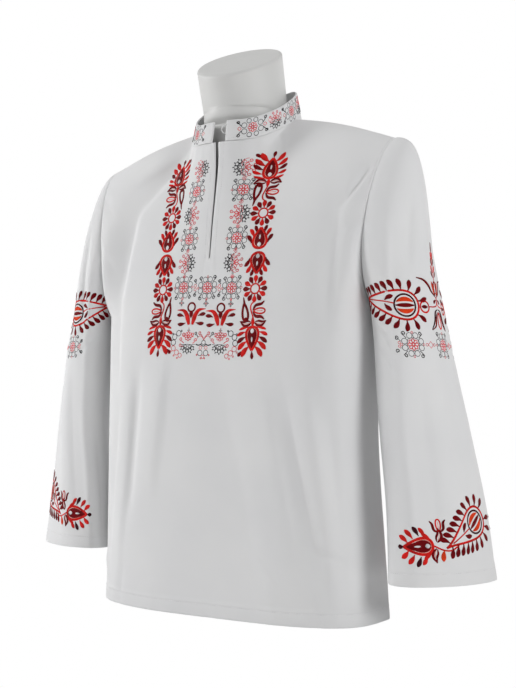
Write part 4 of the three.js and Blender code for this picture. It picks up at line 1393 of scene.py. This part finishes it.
# ---- Sleeve motifs ----------------------------------------------------------------------------
def striped_ball():
    """A ring round a maroon lens between two orange crescents."""
    strokes = [ring("wine", (0, 0), 15.2, 2.3, 31), petal("maroon", (-13.5, 0), (13.5, 0), 4.6, 0, 0.5, 12)]
    for side in (-1, 1):
        strokes.append(petal("orange", (-11.9, 4.9 * side), (11.9, 4.9 * side), 5.0, 0.15 * side, 0.5, 12))
    return strokes


def pomegranate(length, spread_degrees, tilt=0):
    """A large drop with a striped ball: round end at the origin, tip at the right."""
    strokes = [drop_line("red", (0, 0), (length, 0), 20.0, 2.8, 2.1, 48)]
    strokes += put(striped_ball(), 20.5, 0, turn=tilt)
    for side in (-1, 1):
        strokes.append(petal("maroon", (49, 2.4 * side), (38.0, 10.0 * side), 5.0, -0.1 * side, 0.6))
    strokes.append(line("red", [(36, 0), (50, 0.6), (length - 12, 0)], 1.7, 10))
    outline = strokes[0]["points"]
    walked = lengths_along(outline, 0)
    run = unit(np.gradient(outline, axis=0))
    count = 22
    for i in range(1, count):
        at = walked[-1] * i / count
        foot = np.array([np.interp(at, walked, outline[:, axis]) for axis in range(2)])
        ahead = np.array([np.interp(at, walked, run[:, axis]) for axis in range(2)])
        out = np.array([ahead[1], -ahead[0]])
        out = -out if out @ (foot - (21, 0)) < 0 else out
        lean = spread_degrees * smooth((foot[0] - 8) / 30)
        away = unit(out + np.array([math.tan(math.radians(lean)), 0]))
        if abs(foot[0]) < 3 and abs(foot[1]) < 7:
            continue
        bend = 0.08 if foot[1] > 0 else -0.08
        strokes.append(petal("maroon", foot + away * 1.0, foot + away * 16.6, 5.6, bend, 0.68))
    return strokes


def bead():
    """A small red ring with a maroon lens, joined to the stem at its left."""
    return [
        ring("red", (0, 0), 7.9, 2.2, 21),
        petal("maroon", (-5.4, 0), (5.8, 0), 4.0, 0, 0.5, 8),
    ]


def hanging_tulip():
    """The outlined tulip that hangs in the middle of a sleeve's band, from its top at 0, 0."""
    side = [
        tapered("wine", [(1, 0), (8, -4), (12.5, -17), (21, -29)], 2.9, 14),
        tapered("maroon", [(3, -4), (6.5, -10), (11, -23), (20.5, -29.4)], 2.5, 14),
        line("pale", [(4.5, -5), (8.6, -13), (12, -22)], 0.7, 8),
    ]
    return [drop_line("red", (0, -27), (0, -4), 4.2, 2.1, 0.8, 20)] + both_sides(side)


def middle_spray():
    """Stem, bud and leaves over the hanging tulip."""
    side = [
        tapered("maroon", [(3, 14), (12, 21), (18, 29), (27, 36), (39, 39)], 3.6, 18),
        petal("orange", (4.2, 15), (10, 35), 3.6, 0.04, 0.6),
        tapered("maroon", [(2, 15), (3.4, 24), (4.6, 31), (0.6, 36)], 2.8, 12),
        petal("maroon", (2, 9), (9, 4), 3.8, 0.1),
        petal("maroon", (2.2, 41), (7.5, 50), 3.2, -0.1),
        petal("red", (2.0, 48), (6.8, 58), 3.0, -0.1),
        petal("maroon", (1.6, 58), (5.2, 68), 2.8, -0.1),
        petal("red", (1.2, 66), (4.0, 77), 2.6, -0.1),
        line("red", [(21, -1), (9, -0.6), (2, 2), (0.4, 8), (0.8, 14)], 1.6, 14),
    ]
    top = [
        drop_line("red", (0, 18), (0, 33), 2.6, 1.1, 0.6, 20),
        line("red", [(0, 33), (0, 60), (0, 78)], 1.4, 12),
        petal("maroon", (0, 77), (0, 91), 3.4, 0, 0.4),
    ]
    return top + both_sides(side)


def sleeve_band():
    """The broad band of a sleeve, about its own middle; x grows towards the front."""
    side = put(pomegranate(92, 32, -10), 40, -3.6, turn=10)
    side += put(bead(), 29, -1.5)
    strokes = both_sides(side) + middle_spray() + put(hanging_tulip(), 0, -4)
    for x in (-57, 0, 57):
        strokes += put(rosette(), x, -54)
    for x in (-28.5, 28.5):
        strokes += put(lattice_tie()[:1], x, -54, size=1.25)
        strokes += [ring("coral", (x + 6.6, -54), 2.0, THIN, 8), ring("coral", (x - 6.6, -54), 2.0, THIN, 8)]
    for side in (-1, 1):
        end = curl_pair(22.6, 8.8, 60, 17.6, 4.4)
        end += [ring("coral", (19.6, 2.4), 1.7, THIN, 8), ring("coral", (19.6, -2.4), 1.7, THIN, 8)]
        strokes += put(end, side * 57, -54, flip=side < 0)
    return strokes


def sleeve_hem_branch():
    """The branch over a sleeve's hem: palmette at the front, pomegranate at the outer side."""
    strokes = palmette_heart(42, 12.2)
    petals = [
        petal("red", (8, 4), (16, 16), 4.0, -0.05), petal("red", (12, 11), (24, 19), 4.6, -0.05),
        petal("wine", (13.5, 20), (26, 27), 5.0, -0.04), petal("red", (10.5, 28.5), (22, 38), 5.2, -0.05),
        petal("red", (5, 36), (14.5, 46.5), 5.4, -0.08),
    ]
    strokes += both_sides(petals) + [petal("wine", (0, 42), (0, 50), 5.0)]
    strokes = put(strokes, 64, 122, turn=-92)
    strokes += put(leaf(), 59, 126, turn=104) + put(leaf(), 61, 118, turn=-78)
    strokes += put(tulip(), 55, 139, turn=88, size=0.85)
    strokes += [
        line("red", [(64, 121.5), (52, 116), (40, 115), (28, 121)], 2.0, 14),
        petal("orange", (50, 116), (53, 101), 5.6, 0.05),
    ]
    strokes += put(pomegranate(84, 26, -10), -26, 160, turn=-30, size=1.0)
    return strokes


def sleeve_strokes(lift, shift):
    """A sleeve's motifs, lifted with its hem and shifted round it."""
    branch = sleeve_hem_branch()
    middle = -48.0
    mirrored = put(branch, 2 * middle, 0, flip=True)
    return put(sleeve_band(), -4 + shift, 444 + lift) + put(branch + mirrored, shift, lift)


def collar_rosette():
    """The collar's flatter rosette: a coral flower between two pairs of circles."""
    strokes = put(lattice_flower(), size=0.86)
    for side in (-1, 1):
        strokes += curl_pair(20.4 * side, 9.6, 90 - 60 * side, 16.0 * side, 3.4, 2.6)
        for up in (-1, 1):
            strokes.append(ring("black", (12.0 * side, 4.5 * up), 3.8, THIN, 13))
            strokes.append(ring("black", (5.0 * side, 10.2 * up), 3.3, THIN, 12))
            arc = [(16.2 * side, 0), (18.8 * side, 2.6 * up), (21.4 * side, 0)]
            strokes.append(line("coral", arc, THIN, 5))
    return strokes


def collar_strokes():
    strokes = []
    places = (41.0, 119.5, 190.0, 260.0, 330.0, 401.0, 471.0)
    for u in places:
        strokes += put(collar_rosette(), u, 15.4, size=1.06)
    for before, after in zip(places[:-1], places[1:]):
        strokes += put(half_rosette(), (before + after) / 2, 15.0, turn=90, size=0.84)
    return strokes


# ---- Sewing strokes on to a cloth -------------------------------------------------------------
def ridge_faces(base, stations):
    """Faces of a closed ridge: SECTION's points at each station, numbered from base."""
    count = len(SECTION)
    faces = []
    for i in range(stations - 1):
        for k in range(count):
            a = base + i * count + k
            b = base + i * count + (k + 1) % count
            faces.append((a, b, b + count, a + count))
    last = base + (stations - 1) * count
    faces.append(tuple(range(base, base + count))[::-1])
    faces.append(tuple(range(last, last + count)))
    return faces


def sew(name, surface, strokes, material_of):
    """One mesh of raised stitches for each colour, a closed ridge for each stroke."""
    pieces = []
    for colour in sorted({one["colour"] for one in strokes}):
        places, rises, threads, faces = [], [], [], []
        base = 0
        for one in (one for one in strokes if one["colour"] == colour):
            points = one["points"]
            run = unit(np.gradient(points, axis=0))
            left = np.stack([-run[:, 1], run[:, 0]], -1)
            offset = -SECTION[None, :, 0] * one["width"][:, None]
            places.append((points[:, None] + left[:, None] * offset[..., None]).reshape(-1, 2))
            plump = np.clip(one["width"] / 2.2, 0.35, 1.0)[:, None] * one["height"]
            rises.append((SECTION[None, :, 1] * (plump + SINK) - SINK).reshape(-1))
            walked = lengths_along(points, 0)[:, None] + 0 * offset
            threads.append(np.stack([walked, offset], -1).reshape(-1, 2))
            faces += ridge_faces(base, len(points))
            base += len(points) * len(SECTION)
        points, normals = surface.place(np.concatenate(places))
        points = points + normals * np.concatenate(rises)[:, None]
        if surface.hand < 0:
            faces = [face[::-1] for face in faces]
        piece = make_mesh(f"{name}_{colour}", points, faces, np.concatenate(threads))
        paint(piece, material_of[colour])
        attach(piece, "root")
        pieces.append(piece)
    return [piece.name for piece in pieces]


# ---- Stitches ---------------------------------------------------------------------------------
STITCH = {"pitch": 3.3, "length": 2.4, "width": 0.62, "height": 0.36, "sink": 0.12}
STITCH_STATIONS = np.array([[0.0, 0.4], [0.3, 1.0], [0.7, 1.0], [1.0, 0.4]])  # place and swelling


def row_line(outer, wrap, z):
    """A cloth's line nearest to a level, and its outward directions."""
    i = int(np.argmin(np.abs(outer[:, 0, 2] - z)))
    points = outer[i]
    normals = grid_normals(outer, wrap)[i]
    if wrap:
        points = np.concatenate([points, points[:1]])
        normals = np.concatenate([normals, normals[:1]])
    return points, normals


def column_line(outer, j, low, high):
    """A cloth's line up from one level to another, and its outward directions."""
    kept = (outer[:, j, 2] >= low) & (outer[:, j, 2] <= high)
    return outer[kept, j], grid_normals(outer, False)[kept, j]


def make_stitches(name, lines, material):
    """Short raised stitches along lines on the cloth, as one mesh."""
    stations = len(STITCH_STATIONS)
    places, threads, faces = [], [], []
    base = 0
    for points, normals in lines:
        walked = lengths_along(points, 0)
        start = np.arange(0.5, walked[-1] - STITCH["length"], STITCH["pitch"])
        at = start[:, None] + STITCH["length"] * STITCH_STATIONS[:, 0]
        centre = np.stack([np.interp(at, walked, points[:, axis]) for axis in range(3)], -1)
        out = unit(np.stack([np.interp(at, walked, normals[:, axis]) for axis in range(3)], -1))
        side = unit(np.cross(unit(centre[:, -1:] - centre[:, :1]), out))
        swell = STITCH_STATIONS[None, :, 1, None, None]
        across = SECTION[None, None, :, 0, None] * STITCH["width"] * swell
        rise = SECTION[None, None, :, 1, None] * STITCH["height"] * swell - STITCH["sink"]
        ring_points = centre[:, :, None] + side[:, :, None] * across + out[:, :, None] * rise
        places.append(ring_points.reshape(-1, 3))
        thread = np.stack([at[:, :, None] + 0 * across[..., 0], across[..., 0] + 0 * at[:, :, None]], -1)
        threads.append(thread.reshape(-1, 2))
        for _ in range(len(start)):
            faces += ridge_faces(base, stations)
            base += stations * len(SECTION)
    piece = make_mesh(name, np.concatenate(places), faces, np.concatenate(threads))
    paint(piece, material)
    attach(piece, "root")
    return piece.name


def panel_lines(outer, facing):
    """The hem's stitches, the armholes' and, in front, those beside the slit."""
    lines = [row_line(outer, False, HEM_Z + HEM["height"] - HEM["stitch_drop"])]
    for j in (5, outer.shape[1] - 6):
        lines.append(column_line(outer, j, ARMPIT_Z + 60, 900))
    if facing < 0:
        middle = outer.shape[1] // 2
        for j in (middle - 4, middle + 3):
            lines.append(column_line(outer, j, SLIT["bottom_z"] - 4, 900))
    return lines


def collar_lines():
    """The stitches along the collar's foot and its top edge."""
    degrees = np.linspace(-360 + COLLAR["left_end"] + 1, -COLLAR["right_end"] - 1, 240)
    angle = np.radians(degrees)
    out = np.stack([np.sin(angle), -np.cos(angle), 0 * angle], -1)
    return [(collar_place(degrees, rise, COLLAR_WALL - 0.05), out) for rise in (0.09, 0.91)]


# ---- Materials --------------------------------------------------------------------------------
def new_material(name, colour, roughness):
    material = bpy.data.materials.new(name)
    material.use_nodes = True
    shader = material.node_tree.nodes["Principled BSDF"]
    shader.inputs["Base Color"].default_value = (*colour, 1)
    shader.inputs["Roughness"].default_value = roughness
    return material, material.node_tree, shader


def add_node(tree, kind, **values):
    node = tree.nodes.new(kind)
    for key, value in values.items():
        if key in node.inputs:
            node.inputs[key].default_value = value
        else:
            setattr(node, key, value)
    return node


def vary_colour(tree, shader, noise, low, high, places=(0.0, 1.0)):
    """Lets a noise move the shader's colour between two colours."""
    ramp = add_node(tree, "ShaderNodeValToRGB")
    for element, place, colour in zip(ramp.color_ramp.elements, places, (low, high)):
        element.position = place
        element.color = (*colour, 1)
    tree.links.new(noise.outputs["Fac"], ramp.inputs["Fac"])
    tree.links.new(ramp.outputs["Color"], shader.inputs["Base Color"])


def cloth_material():
    """Fine white plain weave with a soft sheen, slubs and a faint change of tone."""
    material, tree, shader = new_material("white_plain_weave", (0.78, 0.78, 0.785), 0.9)
    shader.inputs["Sheen Weight"].default_value = 0.1
    shader.inputs["Sheen Roughness"].default_value = 0.5
    links = tree.links
    threads = add_node(tree, "ShaderNodeUVMap", uv_map="threads")
    weave = []
    for way in ("X", "Y"):
        wave = add_node(tree, "ShaderNodeTexWave", bands_direction=way, Scale=0.62, Distortion=0.6)
        wave.inputs["Detail"].default_value = 1.0
        links.new(threads.outputs["UV"], wave.inputs["Vector"])
        weave.append(wave)
    both = add_node(tree, "ShaderNodeMath", operation="MULTIPLY")
    links.new(weave[0].outputs["Fac"], both.inputs[0])
    links.new(weave[1].outputs["Fac"], both.inputs[1])
    place = add_node(tree, "ShaderNodeTexCoord")
    slub = add_node(tree, "ShaderNodeTexNoise", Scale=160.0, Detail=3.0)
    stretch = add_node(tree, "ShaderNodeMapping")
    stretch.inputs["Scale"].default_value = (1.0, 1.0, 0.25)
    links.new(place.outputs["Object"], stretch.inputs["Vector"])
    links.new(stretch.outputs["Vector"], slub.inputs["Vector"])
    fine = add_node(tree, "ShaderNodeBump", Strength=0.18, Distance=0.0003)
    links.new(both.outputs["Value"], fine.inputs["Height"])
    rough = add_node(tree, "ShaderNodeBump", Strength=0.12, Distance=0.0008)
    links.new(slub.outputs["Fac"], rough.inputs["Height"])
    links.new(fine.outputs["Normal"], rough.inputs["Normal"])
    links.new(rough.outputs["Normal"], shader.inputs["Normal"])
    tone = add_node(tree, "ShaderNodeTexNoise", Scale=9.0, Detail=2.0)
    links.new(place.outputs["Object"], tone.inputs["Vector"])
    vary_colour(tree, shader, tone, (0.685, 0.687, 0.695), (0.72, 0.72, 0.722), (0.3, 0.75))
    return material


def form_material():
    """Smooth light grey painted shell of the dress form."""
    material, tree, shader = new_material("form_light_grey", (0.62, 0.62, 0.61), 0.55)
    place = add_node(tree, "ShaderNodeTexCoord")
    grain = add_node(tree, "ShaderNodeTexNoise", Scale=420.0, Detail=4.0)
    tree.links.new(place.outputs["Object"], grain.inputs["Vector"])
    bump = add_node(tree, "ShaderNodeBump", Strength=0.06, Distance=0.0005)
    tree.links.new(grain.outputs["Fac"], bump.inputs["Height"])
    tree.links.new(bump.outputs["Normal"], shader.inputs["Normal"])
    cloud = add_node(tree, "ShaderNodeTexNoise", Scale=14.0, Detail=2.0)
    tree.links.new(place.outputs["Object"], cloud.inputs["Vector"])
    vary_colour(tree, shader, cloud, (0.60, 0.60, 0.59), (0.64, 0.64, 0.63))
    return material


def linear(colour):
    """A colour in linear light from its sRGB bytes."""
    return tuple(((value / 255 + 0.055) / 1.055) ** 2.4 for value in colour)


def thread_material(name, colour):
    """Embroidery thread with little gloss: fine strands across each stroke, and small changes of shade."""
    base = linear(colour)
    material, tree, shader = new_material(f"thread_{name}", base, 0.55)
    shader.inputs["Specular IOR Level"].default_value = 0.07
    links = tree.links
    threads = add_node(tree, "ShaderNodeUVMap", uv_map="threads")
    strands = add_node(tree, "ShaderNodeTexWave", bands_direction="X", Scale=0.55, Distortion=0.8)
    links.new(threads.outputs["UV"], strands.inputs["Vector"])
    bump = add_node(tree, "ShaderNodeBump", Strength=0.45, Distance=0.0003)
    links.new(strands.outputs["Fac"], bump.inputs["Height"])
    links.new(bump.outputs["Normal"], shader.inputs["Normal"])
    place = add_node(tree, "ShaderNodeTexCoord")
    shade = add_node(tree, "ShaderNodeTexNoise", Scale=90.0, Detail=2.0)
    links.new(place.outputs["Object"], shade.inputs["Vector"])
    dark = [value * 0.72 for value in base]
    bright = [min(1, value * 1.25) for value in base]
    vary_colour(tree, shader, shade, dark, bright, (0.3, 0.7))
    return material


def paint(piece, material):
    piece.data.materials.clear()
    piece.data.materials.append(material)


# ---- Camera, floor and light ------------------------------------------------------------------
def make_camera():
    azimuth = math.radians(CAMERA["azimuth"])
    turn = -math.radians(CAMERA["turn"])
    pitch = math.radians(CAMERA["pitch"])
    ahead = Vector((-math.sin(azimuth), math.cos(azimuth), 0))
    right = Vector((math.cos(azimuth), math.sin(azimuth), 0))
    level = ahead * math.cos(turn) - right * math.sin(turn)
    side = right * math.cos(turn) + ahead * math.sin(turn)
    up = Vector((0, 0, 1))
    forward = level * math.cos(pitch) + up * math.sin(pitch)
    over = up * math.cos(pitch) - level * math.sin(pitch)
    data = bpy.data.cameras.new("camera")
    data.sensor_width = 36.0
    data.lens = data.sensor_width * FOCAL_PIXELS / PHOTO["height"]
    data.clip_start = 0.05
    data.clip_end = 40.0
    camera = bpy.data.objects.new("camera", data)
    bpy.context.scene.collection.objects.link(camera)
    away = CAMERA["distance"]
    place = Vector((math.sin(azimuth) * away, -math.cos(azimuth) * away, CAMERA["height"]))
    matrix = Matrix((side, over, -forward)).transposed().to_4x4()
    matrix.translation = place * METRES
    camera.matrix_world = matrix
    bpy.context.scene.camera = camera


def area_light(name, place, size, power, target=(0, 0, 0.42)):
    data = bpy.data.lights.new(name, "AREA")
    data.shape = "DISK"
    data.size = size
    data.energy = power
    light = bpy.data.objects.new(name, data)
    light.location = place
    light.rotation_mode = "QUATERNION"
    light.rotation_quaternion = (Vector(target) - Vector(place)).to_track_quat("-Z", "Y")
    bpy.context.scene.collection.objects.link(light)


def show_camera(tree, others, seen, target):
    """Shows one shader to the camera and another to every other ray."""
    rays = tree.nodes.new("ShaderNodeLightPath")
    choose = tree.nodes.new("ShaderNodeMixShader")
    tree.links.new(rays.outputs["Is Camera Ray"], choose.inputs["Fac"])
    tree.links.new(others, choose.inputs[1])
    tree.links.new(seen, choose.inputs[2])
    tree.links.new(choose.outputs["Shader"], target)


def floor_material():
    """Pale paper that throws soft light on the cloth, and glows plain white to the camera."""
    material, tree, shader = new_material("pale_floor", (0.9, 0.9, 0.9), 0.9)
    glow = add_node(tree, "ShaderNodeEmission", Color=(1, 1, 1, 1), Strength=STUDIO["paper"])
    surface = tree.nodes["Material Output"].inputs["Surface"]
    show_camera(tree, shader.outputs["BSDF"], glow.outputs["Emission"], surface)
    return material


def make_studio():
    scene = bpy.context.scene
    scene.view_settings.view_transform = "Standard"
    world = bpy.data.worlds.new("studio")
    scene.world = world
    world.use_nodes = True
    tree = world.node_tree
    light = tree.nodes["Background"]
    light.inputs["Color"].default_value = (1, 1, 1, 1)
    light.inputs["Strength"].default_value = STUDIO["light"]
    paper = tree.nodes.new("ShaderNodeBackground")
    paper.inputs["Color"].default_value = (1, 1, 1, 1)
    paper.inputs["Strength"].default_value = STUDIO["paper"]
    surface = tree.nodes["World Output"].inputs["Surface"]
    show_camera(tree, light.outputs["Background"], paper.outputs["Background"], surface)
    area_light("key_left", (-2.7, -1.1, 1.3), 0.7, STUDIO["key"])
    area_light("fill_right", (2.7, -0.9, 1.5), 1.2, STUDIO["fill"])
    area_light("front_low", (-0.9, -3.0, 0.6), 1.4, STUDIO["front"])
    area_light("back_soft", (0.5, 3.0, 1.0), 2.0, STUDIO["back"])
    area_light("top_soft", (-0.4, 0.3, 2.6), 2.0, STUDIO["top"])
    reach = 9000.0
    corners = [(-reach, -reach, 0), (reach, -reach, 0), (reach, reach, 0), (-reach, reach, 0)]
    floor = make_mesh("studio_floor", corners, [(0, 1, 2, 3)])
    paint(floor, floor_material())


# ---- Assembly ---------------------------------------------------------------------------------
make_camera()
make_studio()
cloth = cloth_material()
form = make_form()
paint(form, form_material())
front, front_outer = make_panel(-1)
back, back_outer = make_panel(1)
left, left_outer = make_sleeve(1)
right, right_outer = make_sleeve(-1)
collar = make_collar()
loop = make_loop()
for piece in (front, back, left, right, collar, loop):
    paint(piece, cloth)

for piece, node, slot in (
    (form, "dress_form", "form"),
    (front, "front_panel", "cloth"),
    (back, "back_panel", "cloth"),
    (left, "sleeve_left", "cloth"),
    (right, "sleeve_right", "cloth"),
    (collar, "collar_band", "cloth"),
    (loop, "thread_loop", "thread"),
):
    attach(piece, "root")
    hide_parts(node)

threads = {name: thread_material(name, colour) for name, colour in THREADS.items()}
front_sewn = sew("front_embroidery", front_surface(front_outer), front_strokes(), threads)
left_sewn = sew("sleeve_left_embroidery", sleeve_surface(left_outer, 1), sleeve_strokes(0, 0), threads)
right_sewn = sew("sleeve_right_embroidery", sleeve_surface(right_outer, -1), sleeve_strokes(10, 0), threads)
collar_sewn = sew("collar_embroidery", collar_surface(), collar_strokes(), threads)

sleeve_levels = {1: LEFT_SLEEVE["rows"][-1]["z"], -1: RIGHT_SLEEVE["rows"][-1]["z"]}
front_sewn.append(make_stitches("front_stitches", panel_lines(front_outer, -1), threads["white"]))
back_sewn = [make_stitches("back_stitches", panel_lines(back_outer, 1), threads["white"])]
for side, outer, sewn, name in ((1, left_outer, left_sewn, "left"), (-1, right_outer, right_sewn, "right")):
    hem = row_line(outer, True, sleeve_levels[side] + HEM["height"] - HEM["stitch_drop"])
    sewn.append(make_stitches(f"sleeve_{name}_stitches", [hem], threads["white"]))
collar_sewn.append(make_stitches("collar_stitches", collar_lines(), threads["white"]))
